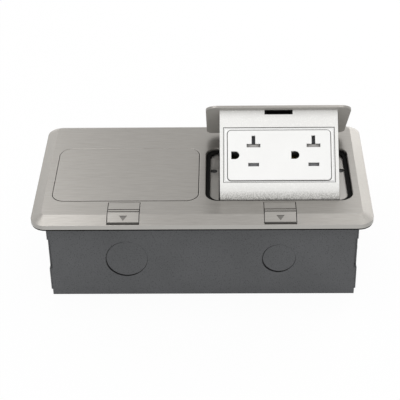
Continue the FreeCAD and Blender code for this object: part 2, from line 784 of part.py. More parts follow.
# ---------------------------------------------- fixed pieces of each gang
def build_bracket(label, side):
    """Ledge beside the pop-up with a lug behind it that carries the hinge pin."""
    body = new_body(label)
    inner = half_frame + bracket_gap
    near, far = (inner, bracket_reach) if side > 0 else (-bracket_reach, -inner)
    slab(body, "ledge", "z", ledge_z, ledge_z + bracket_thick,
         rect(near, opening_y - ledge_ahead, far, lug_rear_y))
    if side > 0:
        lug_low, lug_high = inner, inner + bracket_thick
        stop_low, stop_high = inner - stop_reach, inner
    else:
        lug_low, lug_high = -inner - bracket_thick, -inner
        stop_low, stop_high = -inner, -inner + stop_reach
    slab(body, "lug", "x", lug_low, lug_high,
         polygon((lug_front_y, ledge_z + bracket_thick), (lug_front_y, pivot_z - lug_lip),
                 (pivot_y - lug_lip, top_z - lug_drop), (lug_rear_y, top_z - lug_drop),
                 (lug_rear_y, ledge_z + bracket_thick)))
    slab(body, "stop", "x", stop_low, stop_high,
         circle(pivot_y - stop_ahead, pivot_z + stop_above, stop_radius))
    cut(body, "pin_hole", "x", lug_low, lug_high, circle(pivot_y, pivot_z, pin_radius))
    hole_x = side * ledge_hole_side
    cut(body, "mount_hole", "z", ledge_z, ledge_z + bracket_thick,
        circle(hole_x, ledge_hole_y, mount_screw + fit_gap))
    cut(body, "mount_sink", "z", ledge_z + csk_land, ledge_z + bracket_thick,
        circle(hole_x, ledge_hole_y, ledge_hole_radius))
    cut(body, "bracket_holes", "z", ledge_z, ledge_z + bracket_thick,
        *[circle(side * bracket_screw_side, spot_y, small_screw) for spot_y in bracket_screw_rows])
    return body


def build_lid_gasket(label):
    """Soft seal around the opening, open at the front where the pop-up swings past."""
    body = new_body(label)
    out_x = opening_width / 2 + seal_overlap
    out_y0, out_y1 = opening_y - seal_overlap, opening_y + opening_depth + seal_overlap
    in_x = opening_width / 2 - seal_width
    in_y0, in_y1 = opening_y + seal_width, opening_y + opening_depth - seal_width
    slab(body, "sheet", "z", seal_z, skin_z, rect(-out_x, out_y0, out_x, out_y1))
    cut(body, "inside", "z", seal_z, skin_z, rect(-in_x, in_y0, in_x, in_y1))
    fillet(body, "inner_corners", opening_corner - seal_width + 1.5,
           corner_of(rect_corners(-in_x, in_y0, in_x, in_y1)))
    gap_x = half_frame + bracket_gap
    cut(body, "front_gap", "z", seal_z, skin_z, rect(-gap_x, out_y0, gap_x, in_y0 + 0.1))
    return body


def build_hinge_pins(label):
    body = new_body(label)
    outer = half_frame + bracket_gap + bracket_thick
    slab(body, "pin_right", "x", outer - pin_length, outer, circle(pivot_y, pivot_z, pin_radius))
    slab(body, "pin_left", "x", -outer, -outer + pin_length, circle(pivot_y, pivot_z, pin_radius))
    return body


def turned(points, angle):
    """Turn a list of (y, z) points about the hinge axis."""
    cosine, sine = math.cos(math.radians(angle)), math.sin(math.radians(angle))
    return [(y * cosine - z * sine, y * sine + z * cosine) for y, z in points]


def build_popup_spring(label, tilt):
    """Torsion spring round the right hinge pin: one leg on the box wall, one under the arm."""
    body = new_body(label)
    start = half_inner - spring_span - spring_side_gap
    inside = pin_radius + spring_pin_gap
    outside = inside + spring_wire
    turns = spring_turns - tilt / 360
    coil(body, "coil", start, inside, spring_wire, spring_pitch, turns)
    wall = box_in_y1 - pivot_y
    slab(body, "fixed_leg", "x", start, start + spring_wire,
         polygon((inside, 0.2), (inside, -spring_drop), (wall, -spring_drop),
                 (wall, spring_wire - spring_drop), (outside, spring_wire - spring_drop), (outside, 0.2)))
    last = start + spring_pitch * turns
    hook_top = -spring_hook_drop
    hook_low = hook_top - spring_wire
    leg = [(as_size(0.2), -inside), (spring_knee * -1.0, -inside),
           (spring_wire - spring_leg, hook_top), (-spring_leg, hook_top), (-spring_leg, hook_low),
           (spring_wire - spring_leg, hook_low), (spring_knee * -1.0, -outside), (as_size(0.2), -outside)]
    slab(body, "moving_leg", "x", last, last + spring_wire, polygon(*turned(leg, -tilt)))
    hook = [(-spring_leg, hook_low), (spring_wire - spring_leg, hook_low),
            (spring_wire - spring_leg, hook_top), (-spring_leg, hook_top)]
    slab(body, "hook", "x", last + spring_wire, half_frame - fit_gap, polygon(*turned(hook, -tilt)))
    return body


def build_latch_button(label):
    """Slide button: flat, raised ridge with two grooves, slope with an engraved arrow, bolt."""
    body = new_body(label)
    half_x = button_width / 2
    under = recess_floor + slide_gap
    slope_z = rim_z + button_inset * (top_z - rim_z) / slope_run
    step_y = opening_y - step_ahead
    crest_z = top_z + ridge_height
    tongue_z = retainer_top + slide_gap
    slab(body, "block", "x", -half_x, half_x,
         polygon((button_y0, under), (step_y, under), (step_y, tongue_z), (button_y1, tongue_z),
                 (button_y1, top_z), (ridge_y1, top_z), (ridge_y1, crest_z), (ridge_y0, crest_z),
                 (plate_front + slope_run - 0.4, top_z - 0.2), (button_y0, slope_z)))
    slab(body, "bolt", "z", tongue_z, skin_z - slide_gap,
         rect(-bolt_width / 2, button_y1 - 1, bolt_width / 2, opening_y - bolt_ahead))
    ear_x = half_x + ear_reach
    slab(body, "ears", "z", tongue_z, skin_z - slide_gap,
         rect(-ear_x, opening_y - ear_ahead, ear_x, opening_y - ear_ahead + ear_length))
    grooves = []
    for groove_y in (ridge_y1 - groove_first, ridge_y1 - groove_second):
        grooves.append(rect(groove_y - groove_width / 2, crest_z - groove_depth,
                            groove_y + groove_width / 2, crest_z + 1))
    cut(body, "grip_grooves", "x", -half_x, half_x, *grooves)
    cut(body, "spring_groove", "z", under, spring_groove_top,
        rect(-spring_groove_half, button_y0 + pocket_wall, spring_groove_half, spring_y1))
    engraving(body)
    return body


def engraving(body):
    """Arrow in the slope face that points the way the button slides."""
    slope_drop = top_z - rim_z
    slope_length = root(slope_run * slope_run + slope_drop * slope_drop)
    tilt = math.degrees(math.atan2(slope_drop.value, slope_run.value))
    sketch = body.newObject("Sketcher::SketchObject", "arrow_sketch")
    plane = [item for item in body.Origin.OriginFeatures if item.Role == "XY_Plane"][0]
    sketch.AttachmentSupport = [(plane, "")]
    sketch.MapMode = "FlatFace"
    base = Vector(0, plate_front.value, rim_z.value)
    sketch.AttachmentOffset = Placement(base, Rotation(Vector(1, 0, 0), tilt))
    bind(sketch, "AttachmentOffset.Base.y", plate_front)
    bind(sketch, "AttachmentOffset.Base.z", rim_z)
    tip = slope_length * arrow_tip_share
    draw(sketch, [polygon((-arrow_half, tip + arrow_height), (arrow_half, tip + arrow_height), (0, tip))])
    pocket = body.newObject("PartDesign::Pocket", "arrow")
    pocket.Profile = sketch
    bind(pocket, "Length", arrow_depth * 2)
    pocket.Midplane = True
    doc.recompute()
    return pocket


def build_latch_spring(label):
    """Return spring between its post on the recess floor and the rear of the button's groove."""
    body = new_body(label)
    coil(body, "coil", 0, latch_coil, latch_wire, latch_pitch, latch_turns)
    return body


def build_latch_retainer(label):
    body = new_body(label)
    slab(body, "plate", "z", retainer_top - retainer_thick, retainer_top,
         rect(-retainer_half, opening_y - retainer_ahead, retainer_half, opening_y - retainer_rear_gap))
    cut(body, "holes", "z", retainer_top - retainer_thick, retainer_top,
        circle(-retainer_screw_side, retainer_screw_y, small_screw),
        circle(retainer_screw_side, retainer_screw_y, small_screw))
    return body


def build_retainer_screws():
    spots = []
    for centre in (-gang_offset, gang_offset):
        for side in (-1, 1):
            spots.append((centre + side * retainer_screw_side, retainer_screw_y))
    return fasteners("retainer_screws", "z", retainer_top - retainer_thick, retainer_head, thread_top,
                     small_head, small_screw, spots)


# ------------------------------------------- swinging pieces of each gang
# These are drawn closed, with the hinge axis as their own X axis.
def build_lid(label):
    body = new_body(label)
    half_x = opening_width / 2 - lid_side_gap
    front = lid_front_gap - pivot_back
    rear = opening_depth - lid_rear_gap - pivot_back
    slab(body, "sheet", "z", lid_under, pivot_down, rect(-half_x, front, half_x, rear))
    fillet(body, "rear_corners", opening_corner - lid_side_gap,
           corner_of([(-half_x, rear), (half_x, rear)]))
    fillet(body, "front_corners", opening_corner - lid_side_gap,
           corner_of([(-half_x, front), (half_x, front)]))
    cut(body, "rear_bevel", "x", -half_x, half_x,
        polygon((rear - lid_bevel_run, lid_under), (rear, lid_under), (rear, pivot_down - lid_land)))
    spots = [circle(x, y, small_screw) for x, y in lid_screw_spots()]
    cut(body, "threads", "z", lid_under, pivot_down - lid_thread_cap, *spots)
    return body


def lid_screw_spots():
    spots = []
    for side in (-1, 1):
        for spot_y in (lid_screw_front - pivot_back, lid_screw_rear - pivot_back):
            spots.append((side * lid_screw_side, spot_y))
    return spots


def build_lid_screws(label):
    return fasteners(label, "z", deck_z, small_head_height, pivot_down - lid_thread_cap,
                     small_head, small_screw, lid_screw_spots())


def build_module_frame(label):
    """Cast pop-up frame: faceplate with a curved lower edge, deck, cheeks and hinge arms."""
    body = new_body(label)
    chin_z = pivot_down - face_drop
    rear_top = -root(rear_clear_radius * rear_clear_radius - lid_under * lid_under)
    slab(body, "block", "x", -half_frame, half_frame,
         polygon((face_y, chin_z), (face_y, lid_under), (rear_top, lid_under),
                 (rear_top, cheek_low), (cheek_rear, cheek_low), (chin_rear, chin_z)))
    ring_cut(body, "front_sweep", -half_frame, half_frame, sweep_radius, sweep_radius + 30)
    bend_z = -root(sweep_radius * sweep_radius - face_y * face_y)
    fillet(body, "face_bend", face_bend_radius, corner_of([(face_y, bend_z)], axis=0, reach=0.1))
    inner_radius = sweep_radius - frame_wall
    knee_z = -root(inner_radius * inner_radius - inner_y * inner_y)
    knee_y = -root(inner_radius * inner_radius - (knee_z - 4) * (knee_z - 4))
    toe_y = -root(inner_radius * inner_radius - (chin_z - 1) * (chin_z - 1))
    cut(body, "inside", "x", -half_inner, half_inner,
        polygon((inner_y, deck_z), (inner_y, knee_z), (knee_y, knee_z - 4), (toe_y, chin_z - 1),
                (20, chin_z - 1), (20, deck_z)))
    cut(body, "rear_clearance", "x", -half_frame, half_frame, circle(0, 0, rear_clear_radius))
    cut(body, "window", "y", face_y - 1, inner_y,
        rect(-half_inner, pivot_down - window_bottom, half_inner, pivot_down - window_top))
    cut(body, "latch_notch", "y", face_y - 1, face_y + notch_reach,
        rect(-notch_width / 2, pivot_down - notch_bottom, notch_width / 2, lid_under))
    arm = polygon((arm_front, arm_top), (-arm_heel, arm_top), (-arm_neck, eye_top), (0, eye_top),
                  (0, -eye_top), (-arm_heel, -arm_low), (arm_front, -arm_deep))
    eye = circle(0, 0, eye_radius)
    for name, low, high in (("right", half_inner, half_frame), ("left", -half_frame, -half_inner)):
        slab(body, "arm_" + name, "x", low, high, arm)
        slab(body, "eye_" + name, "x", low, high, eye)
    cut(body, "pin_holes", "x", -half_frame, half_frame, circle(0, 0, pin_radius + pin_running_fit))
    spots = [circle(x, y, small_screw) for x, y in lid_screw_spots()]
    cut(body, "lid_holes", "z", deck_z, lid_under, *spots)
    strap_spots = [circle(x, z, small_screw) for x, z in strap_screw_spots()]
    cut(body, "strap_holes", "y", inner_y - strap_thread, inner_y, *strap_spots)
    return body


def strap_screw_spots():
    height = pivot_down - strap_screw_drop
    return [(-strap_screw_side, height), (strap_screw_side, height)]


def build_latch_keeper(label):
    """Dark striker block in the notch under the lid edge."""
    body = new_body(label)
    half_x = notch_width / 2 - fit_gap
    rear = face_y + notch_reach - fit_gap
    slab(body, "block", "z", keeper_low, lid_under,
         rect(-half_x, inner_y, half_x, rear))
    slab(body, "nose", "z", pivot_down - notch_bottom, lid_under,
         rect(-half_x, face_y + keeper_recess, half_x, inner_y))
    cut(body, "bolt_pocket", "y", face_y, inner_y + 4,
        rect(-half_x + 1, pivot_down - notch_bottom + 0.6, half_x - 1, lid_under - 0.5))
    return body


def build_surround(label):
    """White trim that fills the window around the receptacle face."""
    body = new_body(label)
    half_x = half_inner - surround_fit
    low, high = pivot_down - window_bottom + surround_fit, pivot_down - window_top - surround_fit
    front = face_y + surround_sink
    slab(body, "plate", "y", front, inner_y, rect(-half_x, low, half_x, high))
    raised = rect(surround_border - half_x, low + surround_border,
                  half_x - surround_border, high - surround_border)
    cut(body, "border_step", "y", front, front + surround_step, rect(-half_x, low, half_x, high), raised)
    hole_x = face_length / 2 + surround_gap
    middle = pivot_down - face_centre_drop
    hole_z0 = middle - face_height / 2 - surround_gap
    hole_z1 = middle + face_height / 2 + surround_gap
    cut(body, "hole", "y", face_y - 1, inner_y, rect(-hole_x, hole_z0, hole_x, hole_z1))
    fillet(body, "hole_corners", face_corner + surround_gap,
           corner_of(rect_corners(-hole_x, hole_z0, hole_x, hole_z1), axis=1))
    return body


def slot_outlines(shift):
    """The T slot and the straight slot of both outlets, moved along the face by a shift."""
    middle = pivot_down - face_centre_drop + shift
    half_slot = slot_height / 2
    upper = middle + blade_pitch / 2
    lower = middle - blade_pitch / 2
    shapes = []
    for side in (-1, 1):
        x = blade_column + side * outlet_pitch / 2
        shapes.append(polygon(
            (x - tee_half, upper - half_slot), (x + tee_half, upper - half_slot),
            (x + tee_half, upper + half_slot), (x + half_slot, upper + half_slot),
            (x + half_slot, upper + half_slot + tee_stem), (x - half_slot, upper + half_slot + tee_stem),
            (x - half_slot, upper + half_slot), (x - tee_half, upper + half_slot)))
        shapes.append(rect(x - straight_half, lower - half_slot, x + straight_half, lower + half_slot))
    return shapes


def build_receptacle_face(label):
    """White face of the duplex receptacle, hollow behind for the shutters."""
    body = new_body(label)
    half_x, half_z = face_length / 2, face_height / 2
    middle = pivot_down - face_centre_drop
    front = face_y - face_proud
    slab(body, "face", "y", front, face_back, rect(-half_x, middle - half_z, half_x, middle + half_z))
    fillet(body, "corners", face_corner,
           corner_of(rect_corners(-half_x, middle - half_z, half_x, middle + half_z), axis=1))
    fillet(body, "front_edge", face_edge, lambda edge: edge.BoundBox.YMax < front.value + 0.01)
    rim = face_rim
    cut(body, "inside", "y", front + face_front_wall, face_back,
        rect(-half_x + rim, middle - half_z + rim, half_x - rim, middle + half_z - rim))
    cut(body, "slots", "y", front, front + face_front_wall, *slot_outlines(0))
    flat = [rect(x - ground_flat, middle - ground_radius, x, middle + ground_radius)
            for x in ground_columns()]
    round_part = [circle(x, middle, ground_radius) for x in ground_columns()]
    cut(body, "ground_flats", "y", front, front + face_front_wall, *flat)
    cut(body, "ground_rounds", "y", front, front + face_front_wall, *round_part)
    return body


def ground_columns():
    return [side * outlet_pitch / 2 - ground_column for side in (-1, 1)]


def build_shutter(label, side):
    """Sliding safety shutter of one outlet with a window above each slot."""
    body = new_body(label)
    x = blade_column + side * outlet_pitch / 2
    middle = pivot_down - face_centre_drop
    front = face_y - face_proud + face_front_wall + shutter_gap
    rear = front + shutter_thick
    top = middle + face_height / 2 - face_rim - shutter_top_gap
    low = middle - shutter_reach
    slab(body, "plate", "y", front, rear, rect(x - shutter_half, low, x + shutter_half, top))
    half_slot = slot_height / 2
    upper = middle + blade_pitch / 2 + shutter_travel
    lower = middle - blade_pitch / 2 + shutter_travel
    ease = fit_gap
    cut(body, "straight_window", "y", front, rear,
        rect(x - straight_half - ease, lower - half_slot - ease,
             x + straight_half + ease, lower + half_slot - ease))
    cut(body, "bar_window", "y", front, rear,
        rect(x - tee_half - ease, upper - half_slot - ease, x + tee_half + ease, upper + half_slot))
    cut(body, "stem_window", "y", front, rear,
        rect(x - half_slot - ease, upper, x + half_slot + ease, top + 1))
    return body


def build_shutter_spring(label, side):
    """Folded leaf that pushes a shutter back over its slots."""
    body = new_body(label)
    x = blade_column + side * outlet_pitch / 2
    middle = pivot_down - face_centre_drop
    high = middle - shutter_reach
    low = middle - face_height / 2 + face_rim
    front = face_y - face_proud + face_front_wall + shutter_gap + 0.3
    step = (high - low - leaf_thick) / 3
    left, right = x - leaf_half, x + leaf_half
    bars = []
    folds = []
    for index in range(4):
        level = low + index * step
        bars.append(rect(left, level, right, level + leaf_thick))
        if index < 3:
            fold_x = left if index % 2 else right - leaf_thick
            folds.append(rect(fold_x, level, fold_x + leaf_thick, level + step + leaf_thick))
    slab(body, "bars", "y", front, front + leaf_width, *bars)
    slab(body, "fold_one", "y", front, front + leaf_width, folds[0], folds[2])
    slab(body, "fold_two", "y", front, front + leaf_width, folds[1])
    return body


def build_receptacle_body(label):
    """Moulded rear half with one chamber for each row of contacts."""
    body = new_body(label)
    half_x = face_length / 2 - body_inset
    middle = pivot_down - face_centre_drop
    half_z = face_height / 2 - body_inset
    rear = face_back + body_depth
    slab(body, "block", "y", face_back, rear,
         rect(-half_x, middle - half_z, half_x, middle + half_z))
    chambers = []
    for row in (blade_pitch / 2, -blade_pitch / 2):
        chambers.append(rect(-half_x + body_wall, middle + row - chamber_half,
                             half_x - body_wall, middle + row + chamber_half))
    chambers.append(rect(-half_x + body_wall, middle - ground_chamber_half,
                         half_x - body_wall, middle + ground_chamber_half))
    cut(body, "chambers", "y", face_back, rear - body_wall, *chambers)
    fillet(body, "rear_edge", body_edge, lambda edge: edge.BoundBox.YMin > rear.value - 0.01)
    plate_slots = []
    for side in (1, -1):
        outside = middle + side * half_z
        inside = middle + side * (blade_pitch / 2 + chamber_half)
        low, high = (inside - 0.1, outside) if side > 0 else (outside, inside + 0.1)
        plate_slots.append(rect(-tab_reach, low, tab_reach, high))
    cut(body, "terminal_slots", "y", rear - body_wall - terminal_depth, rear - body_wall, *plate_slots)
    return body


def build_contact(label, side):
    """Contact strip of one polarity: two pairs of jaws and an outer terminal plate."""
    body = new_body(label)
    middle = pivot_down - face_centre_drop
    row = middle + side * blade_pitch / 2
    rear = face_back + body_depth - body_wall - strip_gap
    outlets = [blade_column - outlet_pitch / 2, blade_column + outlet_pitch / 2]
    slab(body, "strip", "y", rear - strip_thick, rear,
         rect(outlets[0] - jaw_half, row - strip_half, outlets[1] + jaw_half, row + strip_half))
    jaws = []
    for x in outlets:
        for low in (row - jaw_gap - strip_thick, row + jaw_gap):
            jaws.append(rect(x - jaw_half, low, x + jaw_half, low + strip_thick))
    slab(body, "jaws", "y", rear - jaw_length, rear - strip_thick + 0.05, *jaws)
    outside = middle + side * (face_height / 2 - body_inset)
    if side > 0:
        low, high = row + strip_half - 0.1, outside
        plate_low, plate_high = outside, outside + strip_thick
    else:
        low, high = outside, row - strip_half + 0.1
        plate_low, plate_high = outside - strip_thick, outside
    slab(body, "bridge", "y", rear - strip_thick, rear,
         rect(-tab_reach + fit_gap, low, tab_reach - fit_gap, high))
    slab(body, "terminal", "z", plate_low, plate_high,
         rect(-terminal_half, rear - terminal_width, terminal_half, rear))
    holes = [circle(x, rear - terminal_width / 2, terminal_screw) for x in (-terminal_x, terminal_x)]
    cut(body, "threads", "z", plate_low, plate_high, *holes)
    return body


def build_ground_strap(label):
    """Steel yoke behind the faceplate with the earth receivers and a screw ear."""
    body = new_body(label)
    middle = pivot_down - face_centre_drop
    half_z = face_height / 2
    half_x = half_inner - fit_gap
    high = pivot_down - strap_top
    slab(body, "yoke", "y", inner_y, inner_y + strap_thick,
         rect(-half_x, middle - half_z - strap_lap, half_x, high))
    hole_x, hole_z = face_length / 2 + fit_gap, half_z + fit_gap
    cut(body, "face_hole", "y", inner_y, inner_y + strap_thick,
        rect(-hole_x, middle - hole_z, hole_x, middle + hole_z))
    cut(body, "screw_holes", "y", inner_y, inner_y + strap_thick,
        *[circle(x, z, small_screw) for x, z in strap_screw_spots()])
    return body


def build_ground_contact(label):
    """Earth strip with two round receivers, led out at the left end of the body."""
    body = new_body(label)
    middle = pivot_down - face_centre_drop
    rear = face_back + body_depth - body_wall - strip_gap
    columns = ground_columns()
    half_x = face_length / 2 - body_inset - body_wall - fit_gap
    slab(body, "strip", "y", rear - strip_thick, rear,
         rect(-half_x, middle - ground_strip_half, columns[1] + ground_radius, middle + ground_strip_half))
    slab(body, "receivers", "y", rear - jaw_length, rear - strip_thick + 0.05,
         *[circle(x, middle, ground_tube) for x in columns])
    cut(body, "bores", "y", rear - jaw_length, rear,
        *[circle(x, middle, ground_tube - strip_thick * 0.6) for x in columns])
    return body


def build_strap_screws(label):
    return fasteners(label, "y", inner_y + strap_thick, small_head_height, inner_y - strap_thread,
                     small_head, small_screw, strap_screw_spots())


def build_terminal_screws(label):
    """Four side terminal screws, two on each long side of the receptacle."""
    body = new_body(label)
    middle = pivot_down - face_centre_drop
    rear = face_back + body_depth - body_wall - strip_gap
    y = rear - terminal_width / 2
    outside = face_height / 2 - body_inset + strip_thick
    spots = [(-terminal_x, y), (terminal_x, y)]
    heads = [circle(x, spot_y, terminal_head) for x, spot_y in spots]
    shanks = [circle(x, spot_y, terminal_screw) for x, spot_y in spots]
    slots = [rect(x - terminal_head * 0.8, y - drive_slot, x + terminal_head * 0.8, y + drive_slot)
             for x, spot_y in spots]
    high, low = middle + outside, middle - outside
    slab(body, "upper_heads", "z", high, high + terminal_head_height, *heads)
    slab(body, "upper_shanks", "z", high - strip_thick, high, *shanks)
    slab(body, "lower_heads", "z", low - terminal_head_height, low, *heads)
    slab(body, "lower_shanks", "z", low, low + strip_thick, *shanks)
    cut(body, "upper_slots", "z", high + terminal_head_height / 2, high + terminal_head_height, *slots)
    cut(body, "lower_slots", "z", low - terminal_head_height, low - terminal_head_height / 2, *slots)
    return body


# ---------------------------------------------------------------- assembly
def place(body, base, turn=0.0):
    """Set a piece in the common frame, turned about the X direction."""
    values = [as_size(item).value for item in base]
    body.Placement = Placement(Vector(*values), Rotation(Vector(1, 0, 0), turn))
    return body


def build_gang(prefix, centre, tilt):
    """All pieces of one gang; tilt is how far its pop-up stands open."""
    pieces = []
    outer_side = -1 if prefix == "left" else 1
    fixed = [
        build_bracket(prefix + "_outer_bracket", outer_side),
        build_bracket(prefix + "_inner_bracket", -outer_side),
        build_lid_gasket(prefix + "_lid_gasket"),
        build_hinge_pins(prefix + "_hinge_pins"),
        build_latch_button(prefix + "_latch_button"),
        build_latch_retainer(prefix + "_latch_retainer"),
    ]
    for body in fixed:
        pieces.append(place(body, (centre, 0, 0)))
    spring = build_latch_spring(prefix + "_latch_spring")
    spring.Placement = Placement(
        Vector(centre.value, spring_y0.value, latch_spring_z.value),
        Rotation(Vector(0, 0, 1), 90))
    pieces.append(spring)
    hinge = (centre, pivot_y, pivot_z)
    pieces.append(place(build_popup_spring(prefix + "_popup_spring", tilt), hinge))
    moving = [
        build_lid(prefix + "_lid"),
        build_lid_screws(prefix + "_lid_screws"),
        build_module_frame(prefix + "_popup_frame"),
        build_latch_keeper(prefix + "_latch_keeper"),
        build_surround(prefix + "_receptacle_surround"),
        build_receptacle_face(prefix + "_receptacle_face"),
        build_receptacle_body(prefix + "_receptacle_body"),
        build_ground_strap(prefix + "_receptacle_yoke"),
        build_strap_screws(prefix + "_yoke_screws"),
        build_contact(prefix + "_neutral_contact", 1),
        build_contact(prefix + "_hot_contact", -1),
        build_ground_contact(prefix + "_ground_contact"),
        build_terminal_screws(prefix + "_terminal_screws"),
        build_shutter(prefix + "_shutter_1", -1),
        build_shutter(prefix + "_shutter_2", 1),
        build_shutter_spring(prefix + "_shutter_spring_1", -1),
        build_shutter_spring(prefix + "_shutter_spring_2", 1),
    ]
    for body in moving:
        pieces.append(place(body, hinge, -tilt))
    return pieces


parts = [
    build_cover_frame(),
    build_floor_gasket(),
    build_back_box(),
    build_end_plate("left_end_plate", -1),
    build_end_plate("right_end_plate", 1),
    build_divider(),
    build_box_mounting_screws(),
    build_bracket_screws(),
    build_retainer_screws(),
    build_ground_screw(),
]
parts += build_gang("left", -gang_offset, 0.0)
parts += build_gang("right", gang_offset, open_angle)
doc.recompute()

for item in doc.Objects:
    if "Invalid" in item.State or "Error" in item.State:
        raise ValueError("%s is in state %s" % (item.Name, item.State))
for part in parts:
    if part.Shape.isNull() or not part.Shape.isValid():
        raise ValueError("%s has no valid shape" % part.Label)
for part in parts:
    part.Shape.exportStep(os.path.join("parts", part.Label + ".step"))
    print(part.Label, len(part.Shape.Solids), round(part.Shape.Volume, 1))
print(len(parts), "parts")
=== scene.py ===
# %% [markdown]
# # A floor socket box, dressed for its portrait
# The solids come from the workshop model, already in their places and in metres.
# This script gives them their finishes, adds the spot welds of the back box, and sets up
# a plain studio. The first cell loads the solids and keeps the box that they fill,
# because nothing made here may reach outside it.

# %% Load the frame
import json
import math

import bmesh
import bpy
from mathutils import Matrix, Vector


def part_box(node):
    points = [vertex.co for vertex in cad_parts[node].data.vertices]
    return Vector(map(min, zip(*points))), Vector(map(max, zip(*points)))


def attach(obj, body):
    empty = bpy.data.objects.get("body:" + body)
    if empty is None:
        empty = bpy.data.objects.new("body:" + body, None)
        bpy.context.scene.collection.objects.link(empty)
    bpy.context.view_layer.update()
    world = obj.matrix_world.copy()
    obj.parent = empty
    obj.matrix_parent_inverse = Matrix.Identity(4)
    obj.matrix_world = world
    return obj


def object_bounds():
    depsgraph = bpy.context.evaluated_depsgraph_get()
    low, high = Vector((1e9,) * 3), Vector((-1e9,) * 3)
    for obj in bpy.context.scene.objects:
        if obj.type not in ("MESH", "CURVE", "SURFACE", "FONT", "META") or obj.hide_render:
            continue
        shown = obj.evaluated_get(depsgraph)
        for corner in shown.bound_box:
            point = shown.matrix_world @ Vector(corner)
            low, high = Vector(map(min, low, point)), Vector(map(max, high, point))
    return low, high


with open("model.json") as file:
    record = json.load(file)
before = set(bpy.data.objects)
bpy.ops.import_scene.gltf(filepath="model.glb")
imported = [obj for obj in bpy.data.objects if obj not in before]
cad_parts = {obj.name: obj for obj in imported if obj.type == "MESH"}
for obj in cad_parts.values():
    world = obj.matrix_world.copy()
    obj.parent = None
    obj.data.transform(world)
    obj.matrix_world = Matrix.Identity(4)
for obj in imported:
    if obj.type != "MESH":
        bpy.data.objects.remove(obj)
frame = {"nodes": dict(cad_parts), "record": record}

cad_low, cad_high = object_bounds()
print("solids:", len(frame["nodes"]))
print("size in mm:", [round(length * 1000, 1) for length in cad_high - cad_low])

# %% [markdown]
# ## Sizes that the rest of the script shares
# Lengths that belong to a finish or a small piece alone are given in millimetres through
# one constant.

# %% Shared sizes
MM = 0.001
plate_low, plate_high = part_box("cover_frame")
box_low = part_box("back_box")[0]
floor_height = box_low.z
print("plate top", round(plate_high.z / MM, 2), "mm, box bottom", round(box_low.z / MM, 2), "mm")

# %% [markdown]
# ## Camera
# A product shot from above the front edge: the camera stands 0.7 m in front of the box
# and looks down at 34 degrees with a long lens, so that the two long edges stay almost
# parallel. The turn about the upright is applied first, then the tilt, then the roll.

# %% Camera
camera_place = Vector((0.0148, -0.7143, 0.4677))
camera_down, camera_turn, camera_roll = 34.18, 1.36, -1.03
camera_data = bpy.data.cameras.new("studio_camera")
camera_data.lens = 113.6
camera = bpy.data.objects.new("studio_camera", camera_data)
bpy.context.scene.collection.objects.link(camera)
camera.matrix_world = (
    Matrix.Translation(camera_place)
    @ Matrix.Rotation(math.radians(camera_turn), 4, "Z")
    @ Matrix.Rotation(math.radians(90 - camera_down), 4, "X")
    @ Matrix.Rotation(math.radians(camera_roll), 4, "Z")
)
bpy.context.scene.camera = camera
bpy.context.scene.view_settings.view_transform = "Standard"
print("camera lens", camera_data.lens, "mm")

# %% [markdown]
# ## Small helpers for shader nodes
# A finish is a tree of nodes. Adding a node and joining two sockets is done dozens of
# times, so both get a short function. `link` takes the sockets by name.

# %% Node helpers
def add(tree, kind, label="", **settings):
    """Add a node of one kind and set its properties."""
    node = tree.nodes.new(kind)
    node.label = label
    for name, value in settings.items():
        setattr(node, name, value)
    return node


def link(tree, source, out_name, target, in_name):
    """Join an output socket to an input socket, both found by name or number."""
    tree.links.new(source.outputs[out_name], target.inputs[in_name])


def new_group(name, inputs, outputs):
    """A shader node group with named sockets; each input is (kind, start value)."""
    group = bpy.data.node_groups.new(name, "ShaderNodeTree")
    for label, (kind, start) in inputs.items():
        socket = group.interface.new_socket(
            name=label, in_out="INPUT", socket_type="NodeSocket" + kind)
        socket.default_value = start
    for label, kind in outputs.items():
        group.interface.new_socket(name=label, in_out="OUTPUT", socket_type="NodeSocket" + kind)
    return group, group.nodes.new("NodeGroupInput"), group.nodes.new("NodeGroupOutput")


def math_node(tree, operation, first, second=None, clamp=False):
    """A Math node; an operand is a number or a (node, socket) pair."""
    node = add(tree, "ShaderNodeMath", operation=operation, use_clamp=clamp)
    for place, operand in enumerate((first, second)):
        if isinstance(operand, tuple):
            link(tree, operand[0], operand[1], node, place)
        elif operand is not None:
            node.inputs[place].default_value = operand
    return node


def stretch(tree, source, out_name, low, high, to_low=0.0, to_high=1.0):
    """Spread a value from one range to another."""
    node = add(tree, "ShaderNodeMapRange")
    link(tree, source, out_name, node, "Value")
    node.inputs["From Min"].default_value = low
    node.inputs["From Max"].default_value = high
    node.inputs["To Min"].default_value = to_low
    node.inputs["To Max"].default_value = to_high
    return node


print("node helpers ready")

# %% [markdown]
# ## Brush marks
# The cover is sheet metal brushed along its long side. Brush marks are noise that is
# stretched: slow along X, quick across it. Three layers make it believable: hair-fine
# lines, broader streaks, and a cloudy tone from handling. The group gives a tone to mix
# two colours by, a roughness and a height for a Bump node.

# %% Group: brush marks
line_length = 110.0
line_density = 5200.0
streak_scale = (0.4, 0.22, 0.22)
hair_share = 0.85
cloud_share = 0.6


